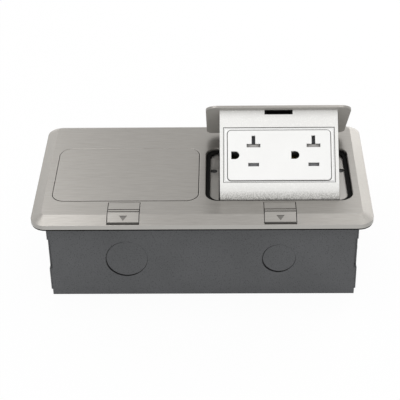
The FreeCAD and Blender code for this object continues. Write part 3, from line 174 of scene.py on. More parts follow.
def make_brush_group():
    group, given, result = new_group(
        "brush_marks",
        {"Line Length": ("Float", line_length), "Line Density": ("Float", line_density),
         "Roughness": ("Float", 0.3), "Roughness Spread": ("Float", 0.1)},
        {"Tone": "Float", "Roughness": "Float", "Height": "Float"})
    place = add(group, "ShaderNodeTexCoord")
    parts = add(group, "ShaderNodeSeparateXYZ")
    link(group, place, "Object", parts, 0)
    along = math_node(group, "MULTIPLY", (parts, "X"), (given, "Line Length"))
    across_y = math_node(group, "MULTIPLY", (parts, "Y"), (given, "Line Density"))
    across_z = math_node(group, "MULTIPLY", (parts, "Z"), (given, "Line Density"))
    joined = add(group, "ShaderNodeCombineXYZ")
    for socket, source in (("X", along), ("Y", across_y), ("Z", across_z)):
        link(group, source, 0, joined, socket)
    fine = add(group, "ShaderNodeTexNoise", "hair lines")
    fine.inputs["Scale"].default_value = 1.0
    fine.inputs["Detail"].default_value = 4.0
    link(group, joined, 0, fine, "Vector")
    broad_scale = add(group, "ShaderNodeVectorMath", "broad streaks", operation="MULTIPLY")
    link(group, joined, 0, broad_scale, 0)
    broad_scale.inputs[1].default_value = streak_scale
    broad = add(group, "ShaderNodeTexNoise")
    broad.inputs["Scale"].default_value = 1.0
    broad.inputs["Detail"].default_value = 2.0
    link(group, broad_scale, 0, broad, "Vector")
    cloud = add(group, "ShaderNodeTexNoise", "handling")
    cloud.inputs["Scale"].default_value = 16.0
    cloud.inputs["Detail"].default_value = 5.0
    link(group, place, "Object", cloud, "Vector")
    lines = math_node(group, "MULTIPLY_ADD", (fine, 0), hair_share)
    streaks = math_node(group, "MULTIPLY", (broad, 0), 1.0 - hair_share)
    link(group, streaks, 0, lines, 2)
    tone = stretch(group, lines, 0, 0.25, 0.75)
    link(group, tone, 0, result, "Tone")
    mixed = math_node(group, "MULTIPLY_ADD", (cloud, 0), cloud_share)
    part_line = math_node(group, "MULTIPLY", (lines, 0), 1.0 - cloud_share)
    link(group, part_line, 0, mixed, 2)
    centred = math_node(group, "SUBTRACT", (mixed, 0), 0.5)
    spread = math_node(group, "MULTIPLY", (centred, 0), (given, "Roughness Spread"))
    rough = math_node(group, "ADD", (spread, 0), (given, "Roughness"), clamp=True)
    link(group, rough, 0, result, "Roughness")
    link(group, lines, 0, result, "Height")
    return group


brush_marks = make_brush_group()
print("group", brush_marks.name, "with", len(brush_marks.nodes), "nodes")

# %% [markdown]
# ## Soft edges
# No real edge is perfectly sharp. The Bevel node bends the normal within a small
# distance of each edge, and where the bent normal leaves the true one there is an edge.
# That gives a rounded highlight, and a mask for the paint or plating worn there.

# %% Group: soft edges
edge_starts, edge_full = 0.995, 0.86
even_wear, patchy_wear = 1.0, 0.7


def make_edge_group():
    group, given, result = new_group(
        "soft_edges", {"Radius": ("Float", 0.15 * MM), "Wear": ("Float", 0.5)},
        {"Normal": "Vector", "Mask": "Float"})
    rounded = add(group, "ShaderNodeBevel", samples=6)
    link(group, given, "Radius", rounded, "Radius")
    link(group, rounded, 0, result, "Normal")
    shape = add(group, "ShaderNodeNewGeometry")
    facing = add(group, "ShaderNodeVectorMath", operation="DOT_PRODUCT")
    link(group, rounded, 0, facing, 0)
    link(group, shape, "Normal", facing, 1)
    bent = stretch(group, facing, "Value", edge_starts, edge_full)
    place = add(group, "ShaderNodeTexCoord")
    breakup = add(group, "ShaderNodeTexNoise", "worn unevenly")
    breakup.inputs["Scale"].default_value = 220.0
    breakup.inputs["Detail"].default_value = 3.0
    link(group, place, "Object", breakup, "Vector")
    patchy = stretch(group, breakup, 0, 0.4, 0.6, patchy_wear, even_wear)
    worn = math_node(group, "MULTIPLY", (bent, 0), (patchy, 0))
    amount = math_node(group, "MULTIPLY", (worn, 0), (given, "Wear"), clamp=True)
    link(group, amount, 0, result, "Mask")
    return group


soft_edges = make_edge_group()
print("group", soft_edges.name, "with", len(soft_edges.nodes), "nodes")

# %% [markdown]
# ## Crevice shade
# Shade falls where two pieces meet and in engraved lines, and the finishes paint it into
# the colour. The Ambient Occlusion node tells how much of the space near a point is closed
# in. Its reach is kept to a millimetre or two, so that only real gaps get the painted
# shade and not whole hollows.

# %% Group: crevice shade
still_open, nearly_closed = 0.75, 0.25


def make_crevice_group():
    group, given, result = new_group(
        "crevice_shade", {"Reach": ("Float", 1.2 * MM), "Amount": ("Float", 0.8)}, {"Mask": "Float"})
    closed = add(group, "ShaderNodeAmbientOcclusion", samples=6)
    link(group, given, "Reach", closed, "Distance")
    # painted shade: the closed-in part of each point becomes the mask that darkens the colour
    hidden = stretch(group, closed, "AO", still_open, nearly_closed)
    amount = math_node(group, "MULTIPLY", (hidden, 0), (given, "Amount"), clamp=True)
    link(group, amount, 0, result, "Mask")
    return group


crevice_shade = make_crevice_group()
print("group", crevice_shade.name, "with", len(crevice_shade.nodes), "nodes")

# %% [markdown]
# ## Grain
# Powder coat, cast texture, rubber and moulded plastic all have a fine even grain, and
# differ in its size and depth. One group holds two noises of different size. Its `Speck`
# output picks only the highest grains, for the painted glint of the silver casting, and
# `Pit` only the lowest, for the pits of a powder coat.

# %% Group: grain
speck_range = (0.56, 0.70)
pit_range = (0.44, 0.32)


def make_grain_group():
    group, given, result = new_group(
        "grain", {"Scale": ("Float", 1500.0), "Cloud Scale": ("Float", 40.0)},
        {"Height": "Float", "Speck": "Float", "Pit": "Float", "Cloud": "Float"})
    place = add(group, "ShaderNodeTexCoord")
    small = add(group, "ShaderNodeTexNoise", "grains")
    small.inputs["Detail"].default_value = 2.0
    link(group, place, "Object", small, "Vector")
    link(group, given, "Scale", small, "Scale")
    link(group, small, 0, result, "Height")
    speck = stretch(group, small, 0, *speck_range)
    link(group, speck, 0, result, "Speck")
    pit = stretch(group, small, 0, *pit_range)
    link(group, pit, 0, result, "Pit")
    cloud = add(group, "ShaderNodeTexNoise", "cloud")
    cloud.inputs["Detail"].default_value = 5.0
    link(group, place, "Object", cloud, "Vector")
    link(group, given, "Cloud Scale", cloud, "Scale")
    even = stretch(group, cloud, 0, 0.3, 0.7)
    link(group, even, 0, result, "Cloud")
    return group


grain = make_grain_group()
print("group", grain.name, "with", len(grain.nodes), "nodes")

# %% [markdown]
# ## Places on a pop-up
# The right pop-up stands open at rest and the left one is closed. So that one finish suits
# both, this group turns a point and its normal back about the hinge to the closed position.
# `Height` is then measured up the faceplate, and `Facing` is 1 on the lid's top and -1 on
# its underside.

# %% Group: places on a pop-up
open_angle = math.radians(46.5)
hinge_y, hinge_z = 37.7 * MM, -11.0 * MM
rest_angles = {"left": 0.0, "right": open_angle}


def turn_back(group, given, parts, y_from, z_from):
    """The upright part of a vector after it is turned by the Opening angle about X."""
    sine = math_node(group, "SINE", (given, "Opening"))
    cosine = math_node(group, "COSINE", (given, "Opening"))
    y_part = math_node(group, "SUBTRACT", (parts, "Y"), y_from)
    z_part = math_node(group, "SUBTRACT", (parts, "Z"), z_from)
    from_y = math_node(group, "MULTIPLY", (y_part, 0), (sine, 0))
    from_z = math_node(group, "MULTIPLY", (z_part, 0), (cosine, 0))
    turned = math_node(group, "ADD", (from_y, 0), (from_z, 0))
    return math_node(group, "ADD", (turned, 0), z_from)


def make_popup_group():
    group, given, result = new_group(
        "popup_place", {"Opening": ("Float", 0.0)}, {"Height": "Float", "Facing": "Float"})
    place = add(group, "ShaderNodeTexCoord")
    turned_parts = (("Object", (hinge_y, hinge_z), "Height"), ("Normal", (0.0, 0.0), "Facing"))
    for source, centre, name in turned_parts:
        parts = add(group, "ShaderNodeSeparateXYZ")
        link(group, place, source, parts, 0)
        link(group, turn_back(group, given, parts, *centre), 0, result, name)
    return group


popup_place = make_popup_group()
print("group", popup_place.name, "with", len(popup_place.nodes), "nodes")

# %% [markdown]
# ## A material from parts
# Every finish ends in a Principled BSDF. `start_finish` makes the material and returns
# its tree and shader. `use` places a group in it. `tint` mixes two colours by a mask, and
# `bump` turns a height in millimetres into a normal on top of the softened edge.

# %% Material helpers
def start_finish(name, roughness, metallic=0.0, specular=0.5):
    """A new material with an empty tree but for the shader and the output."""
    material = bpy.data.materials.new(name)
    material.use_nodes = True
    tree = material.node_tree
    tree.nodes.clear()
    shader = add(tree, "ShaderNodeBsdfPrincipled")
    shader.inputs["Roughness"].default_value = roughness
    shader.inputs["Metallic"].default_value = metallic
    shader.inputs["Specular IOR Level"].default_value = specular
    link(tree, shader, "BSDF", add(tree, "ShaderNodeOutputMaterial"), "Surface")
    return material, tree, shader


def use(tree, group, **values):
    """Place a node group and set its inputs; underscores stand for spaces."""
    node = add(tree, "ShaderNodeGroup", group.name)
    node.node_tree = group
    for name, value in values.items():
        node.inputs[name.replace("_", " ").title()].default_value = value
    return node


def tint(tree, mask, out_name, first, second):
    """Mix two colours by a mask; a colour is a triple or a node that gives one."""
    mix = add(tree, "ShaderNodeMix", data_type="RGBA")
    link(tree, mask, out_name, mix, 0)
    for place, colour in ((6, first), (7, second)):
        if isinstance(colour, tuple):
            mix.inputs[place].default_value = (*colour, 1.0)
        else:
            tree.links.new(colour.outputs[2], mix.inputs[place])
    return mix


def bump(tree, shader, height, out_name, depth_mm, edges):
    """Relief of a given depth over a softened edge."""
    node = add(tree, "ShaderNodeBump")
    node.inputs["Distance"].default_value = depth_mm * MM
    link(tree, height, out_name, node, "Height")
    link(tree, edges, "Normal", node, "Normal")
    link(tree, node, 0, shader, "Normal")


print("material helpers ready")

# %% [markdown]
# ## Brushed nickel
# The cover, the lids and the two buttons are the same metal, brushed along X. Nickel is
# a warm grey. The marks change its tone, its roughness and, very slightly, its relief.
# Thousands of fine grooves also spread a reflection across their own direction, which
# the Anisotropic socket does with a tangent along X. The upright rim of the cover was
# sheared and not brushed, so it is brighter, and the underside of a lid is dull. The
# arrow on each button is stamped, so its floor is matt, and its colour is darkened as
# painted shade of the recess: a group finds it as the part that lies below the plane of
# the button's slope.

# %% Group: floor of the stamped arrow
slope_run = 7.1 * MM
slope_rise = 3.8 * MM


def make_stamp_group():
    group, _, result = new_group("below_slope", {}, {"Mask": "Float"})
    place = add(group, "ShaderNodeTexCoord")
    parts = add(group, "ShaderNodeSeparateXYZ")
    link(group, place, "Object", parts, 0)
    from_front = math_node(group, "SUBTRACT", (parts, "Y"), plate_low.y)
    climb = math_node(group, "MULTIPLY", (from_front, 0), slope_rise / slope_run)
    plane = math_node(group, "ADD", (climb, 0), plate_high.z - slope_rise)
    depth = math_node(group, "SUBTRACT", (plane, 0), (parts, "Z"))
    sunk = stretch(group, depth, 0, 0.15 * MM, 0.3 * MM)
    on_slope = stretch(group, from_front, 0, slope_run + 0.3 * MM, slope_run)
    ahead = math_node(group, "MULTIPLY", (sunk, 0), (on_slope, 0))
    link(group, ahead, 0, result, "Mask")
    return group


below_slope = make_stamp_group()
print("group", below_slope.name)

# %% Finish: brushed nickel
nickel_gap_shade = (0.05, 0.045, 0.04)
nickel_gap_reach, nickel_gap_amount = 1.1 * MM, 1.2
brush_relief_mm = 0.003
worn_nickel = (0.62, 0.60, 0.57)
nickel_wear = 0.22
stamped_shade_tone = (0.17, 0.163, 0.152)
rim_tone = (0.39, 0.38, 0.36)
rim_top = plate_high.z - slope_rise
across_spread = 0.8
quarter_turn = 0.25
brushed_roughness = 0.42
stamped_roughness = 0.45
underside_tone = (0.34, 0.329, 0.310)
underside_roughness = 0.62
underside_facing = (-0.5, -0.8)


def brushed_nickel(name, dark, light, radius=0.15 * MM, stamped=False, opening=None, rim=False):
    """Nickel between two tones; a button is stamped, a lid has an underside, the cover a rim."""
    material, tree, shader = start_finish(name, brushed_roughness, metallic=1.0)
    shader.inputs["Anisotropic"].default_value = across_spread
    shader.inputs["Anisotropic Rotation"].default_value = quarter_turn
    along_x = add(tree, "ShaderNodeCombineXYZ", "brushing direction")
    along_x.inputs["X"].default_value = 1.0
    link(tree, along_x, 0, shader, "Tangent")
    marks = use(tree, brush_marks, roughness=brushed_roughness)
    edges = use(tree, soft_edges, wear=nickel_wear, radius=radius)
    base = tint(tree, marks, "Tone", dark, light)
    worn = tint(tree, edges, "Mask", base, worn_nickel)
    # painted shade: gaps in the nickel are darkened towards a near-black tone
    gaps = use(tree, crevice_shade, reach=nickel_gap_reach, amount=nickel_gap_amount)
    gap_shaded = tint(tree, gaps, "Mask", worn, nickel_gap_shade)
    rough, rough_out = marks, "Roughness"
    if rim:
        place = add(tree, "ShaderNodeTexCoord")
        parts = add(tree, "ShaderNodeSeparateXYZ")
        link(tree, place, "Object", parts, 0)
        below = stretch(tree, parts, "Z", rim_top + 0.1 * MM, rim_top - 0.2 * MM)
        gap_shaded = tint(tree, below, 0, gap_shaded, rim_tone)
    if stamped:
        sunk = use(tree, below_slope)
        # painted shade: the floor of the stamped arrow is darkened
        gap_shaded = tint(tree, sunk, "Mask", gap_shaded, stamped_shade_tone)
        rough = stretch(tree, sunk, "Mask", 0.0, 1.0, brushed_roughness, stamped_roughness)
        rough_out = 0
    if opening is not None:
        place = use(tree, popup_place, opening=opening)
        under = stretch(tree, place, "Facing", *underside_facing)
        gap_shaded = tint(tree, under, 0, gap_shaded, underside_tone)
        rough = stretch(tree, under, 0, 0.0, 1.0, brushed_roughness, underside_roughness)
        rough_out = 0
    tree.links.new(gap_shaded.outputs[2], shader.inputs["Base Color"])
    link(tree, rough, rough_out, shader, "Roughness")
    bump(tree, shader, marks, "Height", brush_relief_mm, edges)
    return material


cover_tones = ((0.28, 0.267, 0.249), (0.38, 0.365, 0.342))
button_tones = ((0.29, 0.278, 0.259), (0.39, 0.375, 0.353))
finishes = {
    "brushed_nickel_cover": brushed_nickel(
        "brushed_nickel_cover", *cover_tones, rim=True),
    "brushed_nickel_button": brushed_nickel(
        "brushed_nickel_button", *button_tones, radius=0.08 * MM, stamped=True),
}
for side, angle in rest_angles.items():
    finishes["brushed_nickel_lid_" + side] = brushed_nickel(
        "brushed_nickel_lid_" + side, *cover_tones, opening=angle)
print("finishes:", sorted(finishes))

# %% [markdown]
# ## Plain steel parts
# Ledges, straps, pins, springs and zinc screws are bare or plated steel. They differ in
# tone and roughness, and share a grain with cloudy patches such as rolled sheet has. A
# row gives two tones and a roughness, and where needed how far the painted gap shade
# reaches in millimetres and how dark it gets. Contacts lie deep behind the slots, so
# theirs are large and paint the shade there.

# %% Finish: plain metals
metal_gap_share = 0.05
worn_metal_share = 1.35


def plain_metal(name, dark, light, roughness, gap_reach=1.2, gap_amount=0.6):
    """Rolled or plated metal between two tones, brighter where its edges are worn, with painted
    shade in gaps.
    """
    material, tree, shader = start_finish(name, roughness, metallic=1.0)
    sheet = use(tree, grain, scale=900.0, cloud_scale=60.0)
    edges = use(tree, soft_edges, wear=0.3)
    base = tint(tree, sheet, "Cloud", dark, light)
    bright = tuple(min(1.0, value * worn_metal_share) for value in light)
    worn = tint(tree, edges, "Mask", base, bright)
    # painted shade: gaps darkened towards a twentieth of the dark tone
    gaps = use(tree, crevice_shade, reach=gap_reach * MM, amount=gap_amount)
    gap_shaded = tint(tree, gaps, "Mask", worn, tuple(value * metal_gap_share for value in dark))
    tree.links.new(gap_shaded.outputs[2], shader.inputs["Base Color"])
    rough = stretch(tree, sheet, "Cloud", 0.0, 1.0, roughness - 0.06, roughness + 0.08)
    link(tree, rough, 0, shader, "Roughness")
    bump(tree, shader, sheet, "Height", 0.01, edges)
    return material


plain_metals = {
    "ledge_steel": ((0.30, 0.290, 0.275), (0.35, 0.338, 0.321), 0.42, 1.6, 1.0),
    "zinc_screw": ((0.45, 0.46, 0.48), (0.62, 0.62, 0.62), 0.28),
    "pin_steel": ((0.38, 0.38, 0.38), (0.5, 0.5, 0.5), 0.25),
    "spring_steel": ((0.36, 0.36, 0.37), (0.5, 0.5, 0.5), 0.3),
    "yoke_steel": ((0.42, 0.42, 0.40), (0.58, 0.57, 0.54), 0.36),
    "nickel_contact": ((0.50, 0.49, 0.46), (0.62, 0.61, 0.58), 0.3, 8.0, 3.0),
    "brass_contact": ((0.62, 0.44, 0.18), (0.78, 0.58, 0.28), 0.3, 8.0, 3.0),
    "brass_screw": ((0.60, 0.42, 0.17), (0.76, 0.56, 0.26), 0.28),
}
for slot_name, look in plain_metals.items():
    finishes[slot_name] = plain_metal(slot_name, *look)
print("plain metals:", sorted(plain_metals))

# %% [markdown]
# ## Slugs that lean
# A knockout is a round slug held by small ties. The punch leaves it leaning a little, so
# the slit round it is open and dark at its lower left and nearly closed at the top. The
# slit itself is in the solid. This group gives the rest: `Shade` marks a painted shadow
# along the open side, and `Shut` marks the nearly closed side, where the painted gap
# shade is weakened.

# %% Group: leaning slugs
knockout_height = -32.1 * MM
knockouts = ((-50.2 * MM, 13.9 * MM), (50.2 * MM, 11.1 * MM))
slit_width = 0.42 * MM
open_side = (-0.42, 0.0, -0.91)
shade_reach = 0.35 * MM


def vector_math(tree, operation, source, out_name, second=None):
    """A Vector Math node on one linked vector and one plain one."""
    node = add(tree, "ShaderNodeVectorMath", operation=operation)
    link(tree, source, out_name, node, 0)
    if second is not None:
        node.inputs[1].default_value = second
    return node


def slug_masks(group, place, centre_x, radius):
    """The painted shadow and the shut part of the slit round one knockout."""
    centred = vector_math(group, "SUBTRACT", place, "Object", (centre_x, 0.0, knockout_height))
    flat = vector_math(group, "MULTIPLY", centred, 0, (1.0, 0.0, 1.0))
    reach = vector_math(group, "LENGTH", flat, 0)
    heading = vector_math(group, "NORMALIZE", flat, 0)
    lean = vector_math(group, "DOT_PRODUCT", heading, 0, open_side)
    low_side = stretch(group, lean, "Value", 0.3, 0.9)
    inner = stretch(group, reach, "Value", radius - slit_width, radius - slit_width / 2)
    limit = math_node(group, "MULTIPLY_ADD", (low_side, 0), shade_reach)
    limit.inputs[2].default_value = radius
    beyond = math_node(group, "SUBTRACT", (reach, "Value"), (limit, 0))
    outer = stretch(group, beyond, 0, 0.15 * MM, 0.0)
    band = math_node(group, "MULTIPLY", (inner, 0), (outer, 0))
    shade = math_node(group, "MULTIPLY", (band, 0), (low_side, 0))
    from_slit = math_node(group, "SUBTRACT", (reach, "Value"), radius - slit_width / 2)
    apart = math_node(group, "ABSOLUTE", (from_slit, 0))
    near = stretch(group, apart, 0, 0.8 * MM, 0.5 * MM)
    high_side = math_node(group, "SUBTRACT", 1.0, (low_side, 0))
    shut = math_node(group, "MULTIPLY", (near, 0), (high_side, 0))
    return shade, shut


def make_slug_group():
    group, _, result = new_group("leaning_slugs", {}, {"Shade": "Float", "Shut": "Float"})
    place = add(group, "ShaderNodeTexCoord")
    left, right = (slug_masks(group, place, *knockout) for knockout in knockouts)
    for name, one, other in zip(("Shade", "Shut"), left, right):
        link(group, math_node(group, "MAXIMUM", (one, 0), (other, 0)), 0, result, name)
    return group


leaning_slugs = make_slug_group()
print("group", leaning_slugs.name, "with", len(leaning_slugs.nodes), "nodes")

# %% [markdown]
# ## Coatings, mouldings and rubber
# These are not metals, so their grain is in the surface and not in the tone. The box has
# a dark powder coat with dust in its clouds and small pits. The mouldings are smoother
# and glossier the whiter they are, and rubber is the dullest. A shutter gets a painted
# shade towards the lower slot, where it stands deeper behind the face. Gaps get painted
# shade too.

# %% Finish: coats and mouldings
coat_gap_share = 0.12
coat_pit_share = 0.35
shut_share = 0.15
shutter_low, shutter_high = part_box("left_shutter_1")
shutter_middle = (shutter_low.z + shutter_high.z) / 2
shade_starts, shade_full = shutter_middle + 1.0 * MM, shutter_middle - 1.0 * MM


def coated(name, dark, light, roughness, depth_mm, grain_scale, specular=0.3, wear=0.0,
           worn_to=None, gap_amount=0.75, gap_reach=1.5, pit_share=0.0,
           lower_shade_tone=None, opening=0.0, slugs=False):
    """A coat or a moulding between two tones, with relief, pits, worn edges and painted shade in
    gaps.
    """
    material, tree, shader = start_finish(name, roughness, specular=specular)
    skin = use(tree, grain, scale=grain_scale, cloud_scale=30.0)
    edges = use(tree, soft_edges, wear=wear)
    base = tint(tree, skin, "Cloud", dark, light)
    worn = tint(tree, edges, "Mask", base, worn_to or light)
    # painted shade: a shutter darkens towards its lower slot, deeper behind the face
    if lower_shade_tone:
        place = use(tree, popup_place, opening=opening)
        lower = stretch(tree, place, "Height", shade_starts, shade_full)
        worn = tint(tree, lower, 0, worn, lower_shade_tone)
    pits = math_node(tree, "MULTIPLY", (skin, "Pit"), pit_share)
    pitted = tint(tree, pits, 0, worn, tuple(value * coat_pit_share for value in dark))
    # painted shade: gaps darkened towards an eighth of the dark tone
    gaps = use(tree, crevice_shade, reach=gap_reach * MM, amount=gap_amount)
    coat_gap_shade = tuple(value * coat_gap_share for value in dark)
    if slugs:
        lean = use(tree, leaning_slugs)
        # painted shadow along the open lower side of each knockout slit
        pitted = tint(tree, lean, "Shade", pitted, coat_gap_shade)
        # the painted gap shade is weakened along the nearly closed upper side
        shallow = stretch(tree, lean, "Shut", 0.0, 1.0, gap_amount, gap_amount * shut_share)
        link(tree, shallow, 0, gaps, "Amount")
    gap_shaded = tint(tree, gaps, "Mask", pitted, coat_gap_shade)
    tree.links.new(gap_shaded.outputs[2], shader.inputs["Base Color"])
    rough = stretch(tree, skin, "Cloud", 0.0, 1.0, roughness - 0.04, roughness + 0.06)
    link(tree, rough, 0, shader, "Roughness")
    bump(tree, shader, skin, "Height", depth_mm, edges)
    return material


finishes["grey_box_steel"] = coated(
    "grey_box_steel", (0.088, 0.090, 0.093), (0.104, 0.106, 0.110), 0.55, 0.05, 1400.0,
    specular=0.2, wear=0.25, worn_to=(0.145, 0.145, 0.15), gap_amount=1.0, pit_share=0.5,
    slugs=True)
finishes["dark_screw"] = coated(
    "dark_screw", (0.03, 0.03, 0.03), (0.06, 0.06, 0.06), 0.4, 0.01, 1200.0)
finishes["green_screw"] = coated(
    "green_screw", (0.03, 0.16, 0.06), (0.05, 0.24, 0.09), 0.35, 0.01, 1200.0)
finishes["black_gasket"] = coated(
    "black_gasket", (0.004, 0.004, 0.004), (0.008, 0.0078, 0.0075), 0.8, 0.04, 900.0, specular=0.06)
finishes["black_plastic"] = coated(
    "black_plastic", (0.006, 0.006, 0.006), (0.012, 0.012, 0.012), 0.5, 0.02, 1500.0, specular=0.1)
finishes["dark_moulding"] = coated(
    "dark_moulding", (0.15, 0.155, 0.165), (0.18, 0.185, 0.195), 0.45, 0.02, 1400.0, specular=0.2)
finishes["white_trim"] = coated(
    "white_trim", (0.87, 0.868, 0.855), (0.90, 0.898, 0.885), 0.4, 0.008, 1200.0, specular=0.25,
    gap_reach=1.3, gap_amount=1.0)
finishes["white_face"] = coated(
    "white_face", (0.84, 0.838, 0.825), (0.87, 0.868, 0.855), 0.32, 0.006, 700.0, specular=0.3,
    gap_reach=1.3, gap_amount=1.0)
for side, angle in rest_angles.items():
    finishes["grey_shutter_" + side] = coated(
        "grey_shutter_" + side, (0.40, 0.386, 0.376), (0.46, 0.445, 0.433), 0.45, 0.01, 1200.0,
        specular=0.2, gap_reach=2.2, lower_shade_tone=(0.21, 0.214, 0.222), opening=angle)
print("coats and mouldings ready")

# %% [markdown]
# ## Textured silver
# The pop-up frame is a casting with a sparkling silver-white texture coat. Its grains
# shade each other, and the tallest ones get a painted glint. Towards its foot the frame
# faces down, away from the light, so the `Height` of the pop-up group brings in painted
# shade, more dark sand pits as painted shade of the grains, and deeper painted gap shade
# over the last few millimetres.

# %% Finish: textured silver
frame_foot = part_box("left_popup_frame")[0].z
chin_start, chin_end = frame_foot + 7.0 * MM, frame_foot - 1.0 * MM
silver_tones = ((0.79, 0.785, 0.765), (0.83, 0.825, 0.805))
painted_glint_tone = (0.95, 0.94, 0.92)
foot_shade_tone = (0.38, 0.37, 0.345)
pit_tone = (0.16, 0.155, 0.145)
worn_silver = (0.86, 0.85, 0.83)
frame_gap_shade = (0.06, 0.055, 0.05)


def textured_silver(name, opening):
    """The frame's coat, from clean silver down to the foot darkened with painted shade."""
    material, tree, shader = start_finish(name, 0.5, specular=0.3)
    coat = use(tree, grain, scale=1300.0, cloud_scale=25.0)
    edges = use(tree, soft_edges, wear=0.2)
    place = use(tree, popup_place, opening=opening)
    low = stretch(tree, place, "Height", chin_start, chin_end)
    base = tint(tree, coat, "Cloud", *silver_tones)
    # painted glint: the highest grains are lightened
    painted_glint = math_node(tree, "MULTIPLY", (coat, "Speck"), 0.5)
    bright = tint(tree, painted_glint, 0, base, painted_glint_tone)
    # painted shade: the foot, which faces down, is darkened
    foot_shade = math_node(tree, "MULTIPLY", (low, 0), 0.95)
    foot_shaded = tint(tree, foot_shade, 0, bright, foot_shade_tone)
    # dark sand pits, made stronger towards the foot as painted shade of the grains
    pit_share = stretch(tree, low, 0, 0.0, 0.9, 0.03, 0.85)
    sandy = stretch(tree, coat, "Height", 0.52, 0.42)
    pits = math_node(tree, "MULTIPLY", (sandy, 0), (pit_share, 0), clamp=True)
    pitted = tint(tree, pits, 0, foot_shaded, pit_tone)
    worn = tint(tree, edges, "Mask", pitted, worn_silver)
    # painted shade: gaps get darker, more so towards the foot
    gaps = use(tree, crevice_shade, reach=2.0 * MM)
    link(tree, stretch(tree, low, 0, 0.0, 0.6, 1.0, 2.8), 0, gaps, "Amount")
    gap_shaded = tint(tree, gaps, "Mask", worn, frame_gap_shade)
    tree.links.new(gap_shaded.outputs[2], shader.inputs["Base Color"])
    rough = stretch(tree, coat, "Speck", 0.0, 1.0, 0.6, 0.35)
    link(tree, rough, 0, shader, "Roughness")
    bump(tree, shader, coat, "Height", 0.10, edges)
    return material


for side, angle in rest_angles.items():
    finishes["textured_silver_" + side] = textured_silver("textured_silver_" + side, angle)
print("finishes:", len(finishes))

# %% [markdown]
# ## Put the finishes on the solids
# The record says which slot each node takes its finish from, so one loop dresses them
# all. A slot whose finish follows the pop-up has one finish for each side. Only the
# material in each node's slot changes, never its mesh.

# %% Dress the solids
slot_of_node = {row["node"]: row["material_slot"] for row in frame["record"]["subparts"]}
for node_name, solid in frame["nodes"].items():
    slot_name, side = slot_of_node[node_name], node_name.split("_")[0]
    finish = finishes.get(slot_name) or finishes[slot_name + "_" + side]
    for material_slot in solid.material_slots:
        material_slot.material = finish
print("dressed", len(slot_of_node), "solids in", len(finishes), "finishes")

# %% [markdown]
# ## Spot welds on the end plates
# The two end plates are flat sheets joined to the folded box by spot welds, three along
# each upright edge. The electrodes leave a shallow ring with a sunken middle. It could be
# painted on with a bump, but a real ring also catches the light from the side. One weld
# is modelled from a short cylinder: its outer face is inset and pushed in twice, and the
# rim is bevelled. Twelve copies follow, each with its own mesh, six to a plate.

# %% One spot weld
weld_radius = 2.4 * MM
weld_height = 0.35 * MM
weld_lip, weld_slope = 0.6 * MM, 0.8 * MM
weld_dish = 0.3 * MM
lip_share = 0.3
weld_bevel = 0.08 * MM
smooth_below = math.radians(40)


def push_in(width, depth):
    """Inset the selected face and sink the new inner face."""
    bpy.ops.mesh.inset(thickness=width)
    bpy.ops.transform.translate(value=(0, 0, -depth))


def make_weld():
    bpy.ops.object.select_all(action="DESELECT")
    bpy.ops.mesh.primitive_cylinder_add(
        vertices=32, radius=weld_radius, depth=2 * weld_height, calc_uvs=False)
    weld = bpy.context.object
    bpy.ops.object.mode_set(mode="EDIT")
    shape = bmesh.from_edit_mesh(weld.data)
    for face in shape.faces:
        face.select_set(face.normal.z > 0.9)
    bmesh.update_edit_mesh(weld.data)
    push_in(weld_lip, weld_dish * lip_share)
    push_in(weld_slope, weld_dish)
    bpy.ops.object.mode_set(mode="OBJECT")
    rim = weld.modifiers.new("rim", "BEVEL")
    rim.width = weld_bevel
    rim.segments = 2
    bpy.ops.object.modifier_apply(modifier=rim.name)
    bpy.ops.object.shade_smooth_by_angle(angle=smooth_below)
    return weld


pattern_weld = make_weld()
print("one weld has", len(pattern_weld.data.polygons), "faces")

# %% Welds along both end plates
weld_heights = (-9.0 * MM, -28.0 * MM, -47.0 * MM)
weld_inset = 8.0 * MM


def copy_weld(place, turn):
    """A copy with its own mesh; its turn and place go into the mesh."""
    bpy.ops.object.select_all(action="DESELECT")
    pattern_weld.select_set(True)
    bpy.context.view_layer.objects.active = pattern_weld
    bpy.ops.object.duplicate(linked=False)
    copied = bpy.context.object
    copied.location = place
    copied.rotation_euler = (0, turn, 0)
    bpy.ops.object.transform_apply(location=True, rotation=True, scale=True)
    return copied


def weld_plate(side, outward):
    """Six welds on the outer face of one end plate, joined into one piece."""
    low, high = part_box(side + "_end_plate")
    outer_face = high.x if outward > 0 else low.x
    welds = [copy_weld((outer_face, y, z), outward * math.pi / 2)
             for y in (low.y + weld_inset, high.y - weld_inset) for z in weld_heights]
    bpy.ops.object.select_all(action="DESELECT")
    for weld in welds:
        weld.select_set(True)
    bpy.context.view_layer.objects.active = welds[0]
    bpy.ops.object.join()
    joined = bpy.context.object
    joined.name = side + "_plate_welds"
    joined.data.materials.append(finishes["grey_box_steel"])
    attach(joined, "floor_box")
    return joined


weld_sets = [weld_plate("left", -1), weld_plate("right", 1)]
bpy.data.objects.remove(pattern_weld)
print("weld sets:", [piece.name for piece in weld_sets])

# %% [markdown]
# ## Studio
# A plain pale floor lies under the box, and the world is a soft even light. What the
# camera sees behind the object is white, through the Light Path node, while the light on
# the object stays at a plain level.

# %% Floor and backdrop
def background_rays(tree):
    """1 for rays that should see the white background: from the camera, a mirror or glass."""
    seen = add(tree, "ShaderNodeLightPath")
    mirror = math_node(tree, "MAXIMUM", (seen, "Is Camera Ray"), (seen, "Is Glossy Ray"))
    return math_node(tree, "MAXIMUM", (mirror, 0), (seen, "Is Transmission Ray"))


floor_size = 6.0
floor_clearance = 0.05 * MM
glow_strength = 0.95


